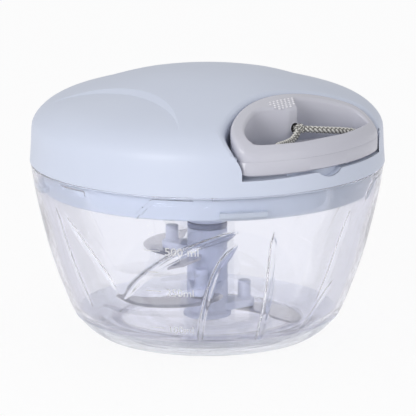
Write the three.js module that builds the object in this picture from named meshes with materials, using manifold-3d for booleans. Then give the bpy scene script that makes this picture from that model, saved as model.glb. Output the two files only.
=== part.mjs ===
// Pull cord food chopper: a clear bowl with a blade rotor, under a domed lid whose handle
// pulls a cord off a spring-wound spool and so spins the rotor.
// Millimetres, +Z up, origin at the bottom centre, pull handle towards -Y.
import * as THREE from "three";
import { mergeVertices } from "three/addons/utils/BufferGeometryUtils.js";
import Module from "manifold-3d";

const wasm = await Module();
wasm.setup();

// Clearances shared by every piece
const seatGap = 0.3;
const runGap = 0.5;
const overrun = 2;

// Overall sizes: the lid's radius, the seam's height, the lid's rise above it and the bowl's lower radius
const lidRadius = 62.5;
const seamHeight = 61.9;
const lidRise = 32.1;
const bowlShoulderRadius = 47.2;
const lidHeight = seamHeight + lidRise;
const lidWall = 2.3;
const lidDraft = 0.66;
const lidWallRadius = lidRadius - lidDraft;

// Bowl
const baseThickness = 1.7;
const baseTop = 7.4;
const baseFlare = 8.7;
const baseFootWidth = 7.5;
const baseInset = 0.2;
const baseFootRadius = bowlShoulderRadius - baseFlare;
const baseFootInner = baseFootRadius - baseFootWidth;
const bowlFloorTop = 4.5;
const bowlFloorUnder = 2.2;
const bowlWall = 2.1;
const bowlRimWall = 1.5;
const bowlRimInset = 0.2;
const bowlRimRadius = lidRadius - bowlRimInset;
const bowlRimDrop = 0.4;
const bowlRibHeight = 0.9;
const bowlRibWidth = 1.7;
const lugCount = 4;
const lugSweepAngle = 16;
const lugAngle = 35.5;
const lugStaggerAngle = 24;
const lugHeight = 2;
const lugLift = 4.1;
const lidLugLift = 1.2;

// Pivot pin that stands in the bowl's floor
const pivotPinRadius = 2;
const pivotPinTop = 15;
const pivotBossRadius = 4.2;
const pivotBossTop = 7;

// Rotor column, with its drive head's dogs
const columnRadius = 7.4;
const columnFoot = 5.4;
const columnDrop = 24.9;
const columnTop = seamHeight - columnDrop;
const columnFootFlare = 1.1;
const driveCoreRadius = 2.7;
const driveHeadRadius = 4.6;
const driveHeadHeight = 13;
const driveHeadTop = columnTop + driveHeadHeight;
const driveDogWidth = 1.7;
const driveDogCount = 3;
const collarRadius = 7.1;
const collarHeight = 2.2;

// Rotor arms and blades: levels are shares of the column's height, and reaches are shares of the blades' arc
const columnLevel = (share) => columnFoot + share * (columnTop - columnFoot);
const bladeArcRadius = 0.424 * bowlShoulderRadius;
const bladeArcX = 0.475 * bladeArcRadius;
const bladeArcY = -0.625 * bladeArcRadius;
const bladeInnerReach = 0.875 * bladeArcRadius;
const bladeThickness = 0.9;
const bladeBevelSlope = 2.4;
const armPegReach = 0.7 * bladeArcRadius;
const armPegRadius = 2.35;
const armPegHeight = 6.2;
const armThickness = 2.9;
const armEndRadius = 3.6;
const upperArmTop = columnLevel(0.785);
const middleArmTop = columnLevel(0.424);
const lowerArmTop = columnLevel(0.158);
const upperArmAngle = 111.5;
const middleArmAngle = -141.5;
const lowerArmAngle = -22.5;
const daggerAngle = -161.5;
const daggerReach = 1.375 * bladeArcRadius;
const daggerWidth = 6.4;
const daggerLevel = columnLevel(0.7025);

// Lid base
const skirtInset = 4.5;
const skirtRadius = lidRadius - skirtInset;
const skirtWall = 2;
const skirtDepth = 9.15;
const skirtBottom = seamHeight - skirtDepth;
const plateUnder = seamHeight + seatGap;
const plateThickness = 2;
const plateTop = plateUnder + plateThickness;
const hubBoreRadius = 8;
const hubCollarWall = 2.4;
const hubCollarDrop = 6;
const sealHeight = 1.8;
const sealLip = 0.28;
const screwCircleRadius = 0.736 * lidRadius;
const screwAngles = [-20, 60, 120, 200];
const screwRadius = 1.4;
const screwHeadRadius = 2.8;
const screwHeadHeight = 1.8;
const screwHeadSink = 0.05;
const screwLength = 9;
const screwBossRadius = 3.6;

// Lid scoops and handle recess share one arch in plan, in shares of the lid's radius
const archCentre = 1.312 * lidRadius;
const archRadius = 0.7872 * lidRadius;
const archBack = archCentre - archRadius;
const scoopDepth = 0.95;
const scoopFlare = 0.7;
const recessHalfWidth = 0.5248 * lidRadius;
const recessFloor = seamHeight + 0.1963 * lidRise;
const recessUnder = plateTop + 2 * seatGap;
const recessWall = 2;
const recessFlare = 1.3;
const thumbNotchRadius = 8;
const thumbNotchDepth = 0.078 * lidRise;
const thumbNotchLength = 9;

// Handle
const handleGap = 1;
const handleRim = 4.3;
const handleFront = 3.6;
const handleRound = 1.7;
const handleParting = seamHeight + 0.352 * lidRise;
const handleCentre = 0.832 * lidRadius;
const thumbPadHalfWidth = 0.32 * recessHalfWidth;
const thumbPadBulge = 5.6;
const cordHoleRadius = 1.9;

// Cord
const cordRadius = 1.1;
const cordLevel = seamHeight + 0.5545 * lidRise;
const spoolFlangeRadius = 0.448 * lidRadius;
const cordWindOuter = 0.875 * spoolFlangeRadius;
const cordWindPitch = 2.75;
const cordWindTurnCount = 2.3;
const cordWindStepsPerTurn = 24;
const knotRadius = 2.1;
const strandEndX = 0.619 * recessHalfWidth;
const strandEndLevel = seamHeight + 0.42 * lidRise;
const strandPocket = 1.4;
const strandPocketRadius = 1.45;

// Drive train on the lid's axis
const socketRadius = 7.4;
const socketLift = 2.6;
const socketBottom = columnTop + socketLift;
const socketFlangeRadius = 12;
const socketFlangeHeight = 1.6;
const cupRadius = 0.344 * lidRadius;
const cupWall = 1.8;
const cupFloor = 1.8;
const cupHeight = 0.249 * lidRise;
const cupToothCount = 12;
const cupToothDepth = 2;
const pawlCount = 2;
const pawlPivotRadius = 0.512 * cupRadius;
const pawlPinRadius = 1.3;
const pawlThickness = 0.625 * cupHeight;
const pawlWidth = 3;
const pawlTipGap = 0.9;
const pawlStartAngle = 42;
const pawlLagAngle = 39;
const spoolFlange = 0.056 * lidRise;
const spoolGroove = 3.2;
const spoolCoreRadius = cordWindOuter - cordWindPitch * cordWindTurnCount - cordRadius - runGap;
const springCupRadius = 0.7 * spoolFlangeRadius;
const springCupWall = 1.3;
const springCupHeight = 0.126 * lidRise;
const springStrip = 0.5;
const springTurnCount = 5;
const springStepsPerTurn = 16;
const springCoverThickness = 0.025 * lidRise;
const axleRadius = 2.2;
const axleBore = 2.6;
const arborRadius = 7;
const springOuter = springCupRadius - springCupWall - springStrip - seatGap;
const springPitch = (springOuter - arborRadius - springStrip) / springTurnCount;

// Eyelet that the cord leaves the lid through
const eyeletRadius = 3;
const eyeletBore = 1.7;
const eyeletLip = 1.3;
const eyeletLipThickness = 1;

const roundSteps = 48;
const columnSteps = 32;
const smallSteps = 20;
const screwSteps = 12;
const fullTurn = 360;
const degree = Math.PI / 180;
const turn = 2 * Math.PI;

// Finishes
function finish(color, roughness, metalness) {
  return new THREE.MeshStandardMaterial({ color, roughness, metalness });
}
const lidPlastic = finish(0xcdd5e3, 0.5, 0);
const handlePlastic = finish(0xc6c5cb, 0.42, 0);
const rotorPlastic = finish(0xaab4ca, 0.45, 0);
const innerPlastic = finish(0xe6e8ec, 0.5, 0);
const polishedSteel = finish(0xc9cbd0, 0.2, 1);
const springSteel = finish(0x8d9095, 0.35, 1);
const braid = finish(0xa9a9a6, 0.9, 0);
const silicone = finish(0xe9edf5, 0.6, 0);
const baseSilicone = finish(0xdfe6f4, 0.4, 0);
const clearPlastic = new THREE.MeshStandardMaterial({
  color: 0xeef1fb,
  roughness: 0.1,
  metalness: 0,
  transparent: true,
  opacity: 0.35,
});

// Joining and cutting

// A closed solid from a geometry: shared corners merged, flat triangles dropped, faces outwards.
function solid(geometry) {
  const bare = geometry.index ? geometry.toNonIndexed() : geometry.clone();
  bare.deleteAttribute("normal");
  bare.deleteAttribute("uv");
  const merged = mergeVertices(bare, 1e-4);
  const place = merged.attributes.position;
  const corner = [0, 1, 2].map(() => new THREE.Vector3());
  const kept = [];
  let volume = 0;
  for (let i = 0; i < merged.index.count; i += 3) {
    const ids = [0, 1, 2].map((k) => merged.index.getX(i + k));
    if (new Set(ids).size < 3) continue;
    ids.forEach((id, k) => corner[k].fromBufferAttribute(place, id));
    volume += corner[0].dot(corner[1].clone().cross(corner[2]));
    kept.push(ids);
  }
  const triVerts = new Uint32Array(kept.flatMap((ids) => (volume < 0 ? [ids[0], ids[2], ids[1]] : ids)));
  return new wasm.Manifold(
    new wasm.Mesh({ numProp: 3, vertProperties: new Float32Array(place.array), triVerts }),
  );
}

function pieceMesh(name, material, body) {
  const data = body.getMesh();
  const count = data.numVert;
  const places = new Float32Array(3 * count);
  for (let i = 0; i < count; i += 1) {
    places.set(data.vertProperties.subarray(i * data.numProp, i * data.numProp + 3), 3 * i);
  }
  const geometry = new THREE.BufferGeometry();
  geometry.setAttribute("position", new THREE.BufferAttribute(places, 3));
  geometry.setIndex(new THREE.BufferAttribute(data.triVerts, 1));
  const mesh = new THREE.Mesh(geometry, material);
  mesh.name = name;
  return mesh;
}

// Turned body about Z from a profile of [radius, height] corners.
function turned(profile, steps = roundSteps) {
  const points = profile.map(([radius, height]) => new THREE.Vector2(radius, height));
  return solid(new THREE.LatheGeometry(points, steps).rotateX(Math.PI / 2));
}

// Straight cylinder standing between two heights, at a place in plan.
function post(radius, low, high, x = 0, y = 0, steps = smallSteps) {
  const height = high - low;
  const shape = new THREE.CylinderGeometry(radius, radius, height, steps);
  return solid(shape.rotateX(Math.PI / 2).translate(x, y, low + height / 2));
}

// Cylinder along Y, from one y to another.
function barrel(radius, from, to, x, z, steps = smallSteps) {
  const length = to - from;
  const shape = new THREE.CylinderGeometry(radius, radius, length, steps);
  return solid(shape.translate(x, from + length / 2, z));
}

function tube(outer, inner, low, high, steps = roundSteps) {
  return turned(
    [
      [inner, low],
      [outer, low],
      [outer, high],
      [inner, high],
      [inner, low],
    ],
    steps,
  );
}

// Plate with a plan outline, standing between two heights.
function plate(outline, low, high) {
  const shape = new THREE.Shape(outline.map(([x, y]) => new THREE.Vector2(x, y)));
  const body = new THREE.ExtrudeGeometry(shape, { depth: high - low, bevelEnabled: false, steps: 1 });
  return solid(body.translate(0, 0, low));
}

// Closed body through rings of points that all have the same count.
function lofted(rings, capped = true) {
  const count = rings[0].length;
  const places = rings.flat(2);
  const index = [];
  const rows = capped ? rings.length - 1 : rings.length;
  for (let row = 0; row < rows; row += 1) {
    const next = (row + 1) % rings.length;
    for (let i = 0; i < count; i += 1) {
      const j = (i + 1) % count;
      index.push(row * count + i, row * count + j, next * count + j);
      index.push(row * count + i, next * count + j, next * count + i);
    }
  }
  if (capped) {
    [0, rings.length - 1].forEach((row) => {
      const middle = places.length / 3;
      const centre = [0, 1, 2].map((k) => rings[row].reduce((sum, p) => sum + p[k], 0) / count);
      places.push(...centre);
      for (let i = 0; i < count; i += 1) {
        const j = (i + 1) % count;
        const pair = row === 0 ? [j, i] : [i, j];
        index.push(row * count + pair[0], row * count + pair[1], middle);
      }
    });
  }
  const geometry = new THREE.BufferGeometry();
  geometry.setAttribute("position", new THREE.Float32BufferAttribute(places, 3));
  geometry.setIndex(index);
  return solid(geometry);
}

// Round tube along a curve.
function roundTube(curve, radius, sides, steps) {
  const corners = arc(0, 0, radius, 0, fullTurn - fullTurn / sides, sides - 1);
  const section = new THREE.Shape(corners.map(([x, y]) => new THREE.Vector2(x, y)));
  return solid(new THREE.ExtrudeGeometry(section, { extrudePath: curve, steps, bevelEnabled: false }));
}

const smoothCurve = (places) => new THREE.CatmullRomCurve3(places, false, "centripetal");

// Solid spun about Z to an angle in degrees.
const spun = (body, angle) => body.rotate([0, 0, angle]);

const joined = (bodies) => bodies.reduce((all, body) => all.add(body));

// Points on an arc, in plan, with both ends.
function arc(cx, cy, radius, from, to, steps) {
  return Array.from({ length: steps + 1 }, (_, i) => {
    const angle = (from + ((to - from) * i) / steps) * degree;
    return [cx + radius * Math.cos(angle), cy + radius * Math.sin(angle)];
  });
}

// Place in plan at a radius and an angle in degrees.
const polar = (radius, angle) => [radius * Math.cos(angle * degree), radius * Math.sin(angle * degree)];

// Profiles

// Outer face of the lid: shares of the height above the seam, and of the lid's radius.
const domeShares = [
  [0, 1],
  [0.2, 0.993],
  [0.37, 0.989],
  [0.44, 0.981],
  [0.5, 0.963],
  [0.56, 0.934],
  [0.62, 0.895],
  [0.69, 0.83],
  [0.76, 0.74],
  [0.83, 0.635],
  [0.89, 0.525],
  [0.94, 0.41],
  [0.975, 0.28],
  [0.993, 0.15],
  [1, 0],
];
const domeProfile = domeShares.map(([up, out]) => [lidRadius * out, seamHeight + lidRise * up]);

// Height of the lid's outer face over a place in plan.
function domeHeight(x, y) {
  const radius = Math.hypot(x, y);
  for (let i = domeProfile.length - 1; i > 0; i -= 1) {
    const [inner, high] = domeProfile[i];
    const [outer, low] = domeProfile[i - 1];
    if (radius <= outer) return high + ((low - high) * (radius - inner)) / (outer - inner);
  }
  return seamHeight;
}

// The scoops' floor: the dome let down where an arch crosses it, and running out at the wall.
const scoopFadeInner = lidRadius * 0.74;
const scoopFadeOuter = lidRadius * 0.975;
function letDown([radius, height]) {
  const fade = THREE.MathUtils.smoothstep(radius, scoopFadeInner, scoopFadeOuter);
  return [radius, height - scoopDepth * (1 - fade)];
}
const scoopProfile = domeProfile.map(letDown);

// Inner face of the lid, one wall inside the scoops' floor.
const everyOther = scoopProfile.filter((_, row) => row % 2 === 0);
const lidInner = everyOther.map(([radius, height], row) => {
  const level = row < 2 ? height : height - lidWall;
  return [Math.max(radius - lidWall, 0), row === 0 ? seamHeight - overrun : level];
});

// Outer face of the bowl above the base ring, as shares of the height and of the rise in radius.
const bowlShares = [
  [0, 0],
  [0.09, 0.146],
  [0.26, 0.377],
  [0.43, 0.576],
  [0.66, 0.781],
  [0.83, 0.907],
  [1, 1],
];
const bowlRim = seamHeight - bowlRimDrop;
const bowlOuter = bowlShares.map(([up, out]) => [
  bowlShoulderRadius + (bowlRimRadius - bowlShoulderRadius) * out,
  baseTop + seatGap + (bowlRim - baseTop - seatGap) * up,
]);
function along(profile, height) {
  for (let i = 1; i < profile.length; i += 1) {
    const [r0, z0] = profile[i - 1];
    const [r1, z1] = profile[i];
    if (height <= z1) return r0 + ((r1 - r0) * Math.max(height - z0, 0)) / (z1 - z0);
  }
  return profile[profile.length - 1][0];
}
function bowlWallAt(height) {
  const share = THREE.MathUtils.smoothstep(height, seamHeight / 2, skirtBottom);
  return THREE.MathUtils.lerp(bowlWall, bowlRimWall, share);
}
const bowlInnerRadius = (height) => along(bowlOuter, height) - bowlWallAt(height);

// Base ring: foot, rounded flank and the lip that laps the bowl, in shares of its own height.
const baseShares = [
  [0, 0],
  [0.25, 0.31],
  [0.5, 0.58],
  [1, 1],
];
const baseOuterRadius = bowlShoulderRadius - baseInset;
const baseOuter = baseShares.map(([up, out]) => [
  baseFootRadius + (baseOuterRadius - baseFootRadius) * out,
  baseTop * up,
]);

// Bowl

// Ribs of the bowl's inner face, from foot to head: [degrees round from ribStart, share of the bowl's depth].
const ribShares = [
  [
    [8, 0.26],
    [16, 0.42],
    [27, 0.56],
    [40, 0.68],
    [53, 0.76],
  ],
  [
    [39.5, 0.06],
    [41.5, 0.24],
    [44.5, 0.44],
    [48, 0.6],
    [53.5, 0.72],
  ],
  [
    [66.5, 0.06],
    [66.5, 0.3],
    [66, 0.55],
    [65.5, 0.76],
  ],
  [
    [89.5, 0.12],
    [92.5, 0.4],
    [96.5, 0.66],
    [99.5, 0.8],
  ],
  [
    [-12, 0.2],
    [-14.5, 0.38],
    [-17.5, 0.6],
    [-19, 0.8],
  ],
  [
    [6.5, 0.33],
    [-3, 0.57],
    [-12.5, 0.76],
  ],
];
const ribStart = -174.5;
const ribSteps = 4;
function bowlRib(shares, spin) {
  const depth = bowlRim - bowlFloorTop;
  const route = new THREE.CatmullRomCurve3(shares.map(([angle, up]) => new THREE.Vector3(angle, 0, up)));
  const rings = route.getPoints(ribSteps).map((place, i, all) => {
    const height = bowlFloorTop + depth * place.z;
    const angle = (ribStart + spin + place.x) * degree;
    const before = all[Math.max(i - 1, 0)];
    const after = all[Math.min(i + 1, all.length - 1)];
    const wall = bowlInnerRadius(height);
    const run = new THREE.Vector2((after.x - before.x) * degree * wall, (after.z - before.z) * depth);
    run.normalize().multiplyScalar(bowlRibWidth / 2);
    const at = (side, inward) => {
      const level = height + side * run.x;
      const spot = angle - (side * run.y) / wall;
      const radius = bowlInnerRadius(level) - inward;
      return [radius * Math.cos(spot), radius * Math.sin(spot), level];
    };
    const sunk = -bowlRimWall / 2;
    return [at(-1, sunk), at(1, sunk), at(0, bowlRibHeight)];
  });
  return lofted(rings);
}

// A lug on a round wall, between two radii and two heights.
function lug(inner, outer, low, high, middle) {
  const steps = 4;
  const outline = [
    ...arc(0, 0, outer, middle - lugSweepAngle / 2, middle + lugSweepAngle / 2, steps),
    ...arc(0, 0, inner, middle + lugSweepAngle / 2, middle - lugSweepAngle / 2, steps),
  ];
  return plate(outline, low, high);
}

const lugLow = skirtBottom + lugLift;
const bowlFootRadius = baseFootRadius - baseThickness;
const bowlLedgeRadius = baseOuterRadius - baseThickness;
const bowlCornerShares = [1, 0.84, 0.62, 0.4, 0.2, 0.07];
const ledgeHeight = 0.72 * baseTop;

function bowl() {
  const depth = bowlRim - bowlFloorTop;
  const inner = bowlCornerShares.map((up) => {
    const height = bowlFloorTop + depth * up;
    return [bowlInnerRadius(height), height];
  });
  const pinHole = pivotPinRadius + seatGap;
  const shell = turned([
    [0, bowlFloorUnder],
    [bowlFootRadius - bowlWall, bowlFloorUnder],
    [bowlFootRadius + bowlWall, bowlFloorUnder + bowlWall / 2],
    [bowlLedgeRadius - bowlWall, ledgeHeight],
    [bowlLedgeRadius - seatGap, baseTop + seatGap],
    ...bowlOuter,
    ...inner,
    [bowlInnerRadius(baseTop) - 2 * bowlWall, bowlFloorTop],
    [pivotBossRadius, bowlFloorTop],
    [pivotBossRadius, pivotBossTop],
    [pinHole, pivotBossTop],
    [pinHole, bowlFloorTop - seatGap],
    [0, bowlFloorTop - seatGap],
  ]);
  const lugs = Array.from({ length: lugCount }, (_, i) =>
    lug(
      skirtRadius + seatGap,
      bowlInnerRadius(lugLow) + bowlRimWall / 2,
      lugLow,
      lugLow + lugHeight,
      lugAngle + (i * fullTurn) / lugCount,
    ),
  );
  const ribs = [0, 180].flatMap((spin) => ribShares.map((shares) => bowlRib(shares, spin)));
  return pieceMesh("bowl", clearPlastic, joined([shell, ...lugs, ...ribs]));
}

// Soft cup that the bowl's lower corner sits in.
function antiSlipBase() {
  const body = turned([
    [baseFootInner, 0],
    ...baseOuter,
    [bowlLedgeRadius, baseTop],
    [bowlLedgeRadius - bowlWall + seatGap, ledgeHeight - seatGap],
    [bowlFootRadius + bowlWall, bowlFloorUnder + bowlWall / 2 - seatGap],
    [bowlFootRadius - bowlWall, bowlFloorUnder - seatGap],
    [baseFootInner, bowlFloorUnder - seatGap],
    [baseFootInner, 0],
  ]);
  return pieceMesh("anti_slip_base", baseSilicone, body);
}

function pivotPin() {
  const body = turned(
    [
      [0, bowlFloorTop],
      [pivotPinRadius, bowlFloorTop],
      [pivotPinRadius, pivotPinTop - pivotPinRadius / 2],
      [pivotPinRadius / 2, pivotPinTop],
      [0, pivotPinTop],
    ],
    smallSteps,
  );
  return pieceMesh("pivot_pin", polishedSteel, body);
}

// Rotor

// Dogs standing out round the drive's axis, between two radii and two heights.
function driveDogs(inner, outer, low, high, angle) {
  const half = driveDogWidth / 2;
  const outline = [
    [inner, -half],
    [outer, -half],
    [outer, half],
    [inner, half],
  ];
  const dog = plate(outline, low, high);
  const angles = Array.from({ length: driveDogCount }, (_, i) => angle + (fullTurn * i) / driveDogCount);
  return joined(angles.map((spin) => spun(dog, spin)));
}

// An arm of the rotor, from the column along +X: a flat finger with a round end and a peg.
function rotorArm(angle, top) {
  const outline = [[0, -columnRadius], ...arc(armPegReach, 0, armEndRadius, -90, 90, 8), [0, columnRadius]];
  const finger = plate(outline, top - armThickness, top);
  const pegTop = top + armPegHeight;
  const chamfer = armPegRadius / 5;
  const peg = turned(
    [
      [0, top - armThickness / 2],
      [armPegRadius, top - armThickness / 2],
      [armPegRadius, pegTop - chamfer],
      [armPegRadius - chamfer, pegTop],
      [0, pegTop],
    ],
    16,
  ).translate([armPegReach, 0, 0]);
  return spun(finger.add(peg), angle);
}

// Plan of the dagger blade with its tang in the column, grown by a margin.
const daggerTipShare = 0.2;
const daggerShoulderShare = 0.75;
function daggerOutline(grow) {
  const half = daggerWidth / 2 + grow;
  const tang = columnRadius - daggerWidth / 2 - grow;
  return [
    [tang, -half / 2],
    [columnRadius + seatGap, -half / 2],
    [columnRadius + daggerWidth / 2, -half],
    [daggerReach + grow, -half * daggerTipShare],
    [daggerReach - daggerWidth, half * daggerShoulderShare],
    [columnRadius + daggerWidth / 2, half],
    [columnRadius + seatGap, half / 2],
    [tang, half / 2],
  ];
}

function rotorColumn() {
  const footRadius = columnRadius + columnFootFlare;
  const bore = pivotPinRadius + runGap;
  const boreTop = pivotPinTop + runGap;
  const bossClear = pivotBossRadius + runGap;
  const bossClearTop = pivotBossTop + runGap;
  const shaft = turned(
    [
      [0, columnFoot],
      [footRadius, columnFoot],
      [footRadius, columnFoot + columnFootFlare],
      [columnRadius, columnFoot + 2 * columnFootFlare],
      [columnRadius - columnFootFlare / 3, columnTop],
      [0, columnTop],
    ],
    columnSteps,
  );
  const core = post(driveCoreRadius, columnTop - seatGap, driveHeadTop);
  const dogs = driveDogs(0, driveHeadRadius, columnTop - seatGap, driveHeadTop, 0);
  const arms = [
    rotorArm(upperArmAngle, upperArmTop),
    rotorArm(middleArmAngle, middleArmTop),
    rotorArm(lowerArmAngle, lowerArmTop),
  ];
  const hollow = turned(
    [
      [0, 0],
      [bossClear, 0],
      [bossClear, bossClearTop],
      [bore, bossClearTop],
      [bore, boreTop],
      [0, boreTop],
    ],
    smallSteps,
  );
  const slotHalf = bladeThickness / 2 + seatGap;
  const slot = plate(daggerOutline(seatGap), daggerLevel - slotHalf, daggerLevel + slotHalf);
  const body = joined([shaft, core, dogs, ...arms]).subtract(hollow).subtract(spun(slot, daggerAngle));
  return pieceMesh("rotor_column", rotorPlastic, body);
}

function rotorCollar() {
  const low = columnTop + seatGap;
  const body = tube(collarRadius, driveHeadRadius + runGap, low, columnTop + collarHeight, columnSteps);
  return pieceMesh("rotor_collar", rotorPlastic, body);
}

// Plan of a crescent blade beside its arm, with the arm along +X and the cutting edge outside.
const bladeInnerShares = [
  [1.22, -1.38],
  [1.08, -0.98],
  [0.98, -0.6],
  [0.8, -0.28],
  [0.6, -0.06],
  [0.52, 0.12],
];
const bladeEdgeStepAngle = 8;
const bladeEdgeStartAngle = -56;
const bladeEdgeSteps = 18;
function bladeOutline() {
  const end = bladeEdgeStartAngle + bladeEdgeStepAngle * bladeEdgeSteps;
  const edge = arc(bladeArcX, bladeArcY, bladeArcRadius, bladeEdgeStartAngle, end, bladeEdgeSteps);
  const back = bladeInnerShares.map(([x, y]) => [bladeInnerReach * x, bladeArcRadius * y]);
  return [...back.slice(0, 1), ...edge, ...back.slice(1).reverse()];
}

// The bevel ground on a blade's upper side along its outer arc, with its corners on the arc's own.
function groundBevel(low, top) {
  const land = bladeThickness / 5;
  const over = top + bladeThickness;
  const edge = bladeArcRadius - land;
  const ring = turned(
    [
      [edge, low + land],
      [bladeArcRadius + overrun, low + land],
      [bladeArcRadius + overrun, over],
      [edge - bladeBevelSlope * (over - low), over],
      [edge, low + land],
    ],
    fullTurn / bladeEdgeStepAngle,
  );
  return spun(ring, bladeEdgeStartAngle + fullTurn / 4).translate([bladeArcX, bladeArcY, 0]);
}

function crescentBlade(name, angle, armTop) {
  const top = armTop - armThickness - seatGap;
  const low = top - bladeThickness;
  const body = plate(bladeOutline(), low, top).subtract(groundBevel(low, top));
  return pieceMesh(name, polishedSteel, spun(body, angle));
}

function daggerBlade() {
  const low = daggerLevel - bladeThickness / 2;
  const body = plate(daggerOutline(0), low, low + bladeThickness);
  return pieceMesh("dagger_blade", polishedSteel, spun(body, daggerAngle));
}

// Lid

// Shortest of the ways from a centre to a set of limits, along a direction in plan.
const towardsDisc = (x, y, radius, from, way) => {
  const dx = x - from[0];
  const dy = y - from[1];
  const dot = dx * way[0] + dy * way[1];
  return dot + Math.sqrt(dot * dot - dx * dx - dy * dy + radius * radius);
};
const softLeast = (a, b, sharp) => (a ** -sharp + b ** -sharp) ** (-1 / sharp);

// Outline in plan of the arch shape between two sides, grown by a margin, with a chosen front.
// A point is given by its angle about the handle's centre.
const cornerPower = 16;
const smallestCosine = 1e-6;
function archReach(angle, grow, frontRadius) {
  const from = [0, -handleCentre];
  const way = [Math.cos(angle), Math.sin(angle)];
  const arch = towardsDisc(0, -archCentre, archRadius + grow, from, way);
  const side = (recessHalfWidth + grow) / Math.max(Math.abs(way[0]), smallestCosine);
  const front = towardsDisc(0, 0, frontRadius, from, way);
  return Math.min(softLeast(arch, side, cornerPower), front);
}
const archPoint = (angle, reach) => [reach * Math.cos(angle), reach * Math.sin(angle) - handleCentre];

// Angle about the handle's centre where a side meets the front.
function frontCorner(grow, frontRadius) {
  const halfWidth = recessHalfWidth + grow;
  const y = -Math.sqrt(frontRadius * frontRadius - halfWidth * halfWidth);
  return Math.atan2(y + handleCentre, halfWidth);
}

function archAngles(grow, frontRadius, frontSteps, backSteps) {
  const corner = frontCorner(grow, frontRadius);
  const run = (from, to, steps) => Array.from({ length: steps }, (_, i) => from + ((to - from) * i) / steps);
  return [...run(-Math.PI - corner, corner, frontSteps), ...run(corner, Math.PI - corner, backSteps)];
}

const farRadius = lidRadius + 4 * overrun;
const recessFrontSteps = 6;
const recessBackSteps = 28;
function recessOutline(grow) {
  const angles = archAngles(grow, farRadius, recessFrontSteps, recessBackSteps);
  return angles.map((angle) => archPoint(angle, archReach(angle, grow, farRadius)));
}

// Cutter with the arch's outline that opens outwards across the dome's surface.
function flaredCutter(flare, deep, grow) {
  const angles = archAngles(0, farRadius, recessFrontSteps, recessBackSteps);
  const ring = (widen, rise, floor) =>
    angles.map((angle) => {
      const [x, y] = archPoint(angle, archReach(angle, grow + widen, farRadius));
      return [x, y, Math.max(domeHeight(x, y), floor) + rise];
    });
  const floor = recessFloor + 2 * deep;
  return lofted([
    ring(-flare, -deep, floor),
    ring(0, 0, floor),
    ring(flare, deep, floor),
    ring(flare, deep, lidHeight),
  ]);
}

const scoopSteps = 24;
const scoopStartAngle = -14;
const scoopEndAngle = 194;
function scoopCutter() {
  const sweep = scoopEndAngle - scoopStartAngle;
  const angleAt = (i) => (scoopStartAngle + (sweep * i) / scoopSteps) * degree;
  const angles = Array.from({ length: scoopSteps + 1 }, (_, i) => angleAt(i));
  const from = [0, -handleCentre];
  const reach = (angle, grow) =>
    towardsDisc(0, -archCentre, archRadius + grow, from, [Math.cos(angle), Math.sin(angle)]);
  const ring = (grow, heightAt) => {
    const arch = angles.map((angle) => archPoint(angle, reach(angle, grow)));
    const ends = [arch[arch.length - 1], arch[0]].map(([x]) => [x, -farRadius]);
    return [...arch, ...ends].map(([x, y]) => [x, y, heightAt(x, y)]);
  };
  const spread = (overrun * scoopFlare) / scoopDepth;
  return lofted([
    ring(-spread, () => seamHeight - 2 * overrun),
    ring(-spread, (x, y) => domeHeight(x, y) - overrun),
    ring(0, domeHeight),
    ring(spread, (x, y) => domeHeight(x, y) + overrun),
    ring(spread, () => lidHeight + 2 * overrun),
  ]);
}

const screwPlace = (angle) => polar(screwCircleRadius, angle);
const screwPost = (radius, low, high, angle) => post(radius, low, high, ...screwPlace(angle), screwSteps);

function lidShell() {
  const dome = turned([[0, seamHeight], ...domeProfile]);
  const letDownDome = turned([[0, seamHeight - overrun], [lidRadius, seamHeight - overrun], ...scoopProfile]);
  const cavity = turned([[0, seamHeight - overrun], ...lidInner]);
  const scoop = scoopCutter().subtract(letDownDome);
  const scoops = [90, 180, 270].map((angle) => spun(scoop, angle));
  const tub = plate(recessOutline(recessWall), recessUnder, lidHeight).intersect(letDownDome);
  const arborTop = lidHeight - scoopDepth - lidWall / 2;
  const arbor = post(arborRadius, springFloor + runGap, arborTop);
  const bosses = screwAngles.map((angle) =>
    screwPost(screwBossRadius, plateTop + seatGap, lidHeight, angle).intersect(letDownDome),
  );
  const pilotTop = plateUnder + screwLength + seatGap;
  const pilots = screwAngles.map((angle) =>
    screwPost(screwRadius + seatGap, plateTop - overrun, pilotTop, angle),
  );
  const recess = plate(recessOutline(0), recessFloor, lidHeight + overrun);
  const rim = flaredCutter(recessFlare, recessFlare, 0);
  const notchLevel = recessFloor + thumbNotchRadius - thumbNotchDepth;
  const notch = barrel(thumbNotchRadius, -farRadius, thumbNotchLength - lidWallRadius, 0, notchLevel);
  const eyeletHole = barrel(eyeletRadius + seatGap, -archBack - overrun, -spoolFlangeRadius, 0, cordLevel);
  const axleHole = post(axleRadius + seatGap, springFloor - overrun, axleTop + seatGap);
  const body = dome
    .subtract(cavity)
    .add(tub)
    .add(arbor)
    .add(joined(bosses))
    .subtract(joined(scoops))
    .subtract(recess)
    .subtract(rim)
    .subtract(notch)
    .subtract(eyeletHole)
    .subtract(axleHole)
    .subtract(joined(pilots));
  return pieceMesh("lid_shell", lidPlastic, body);
}

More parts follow.
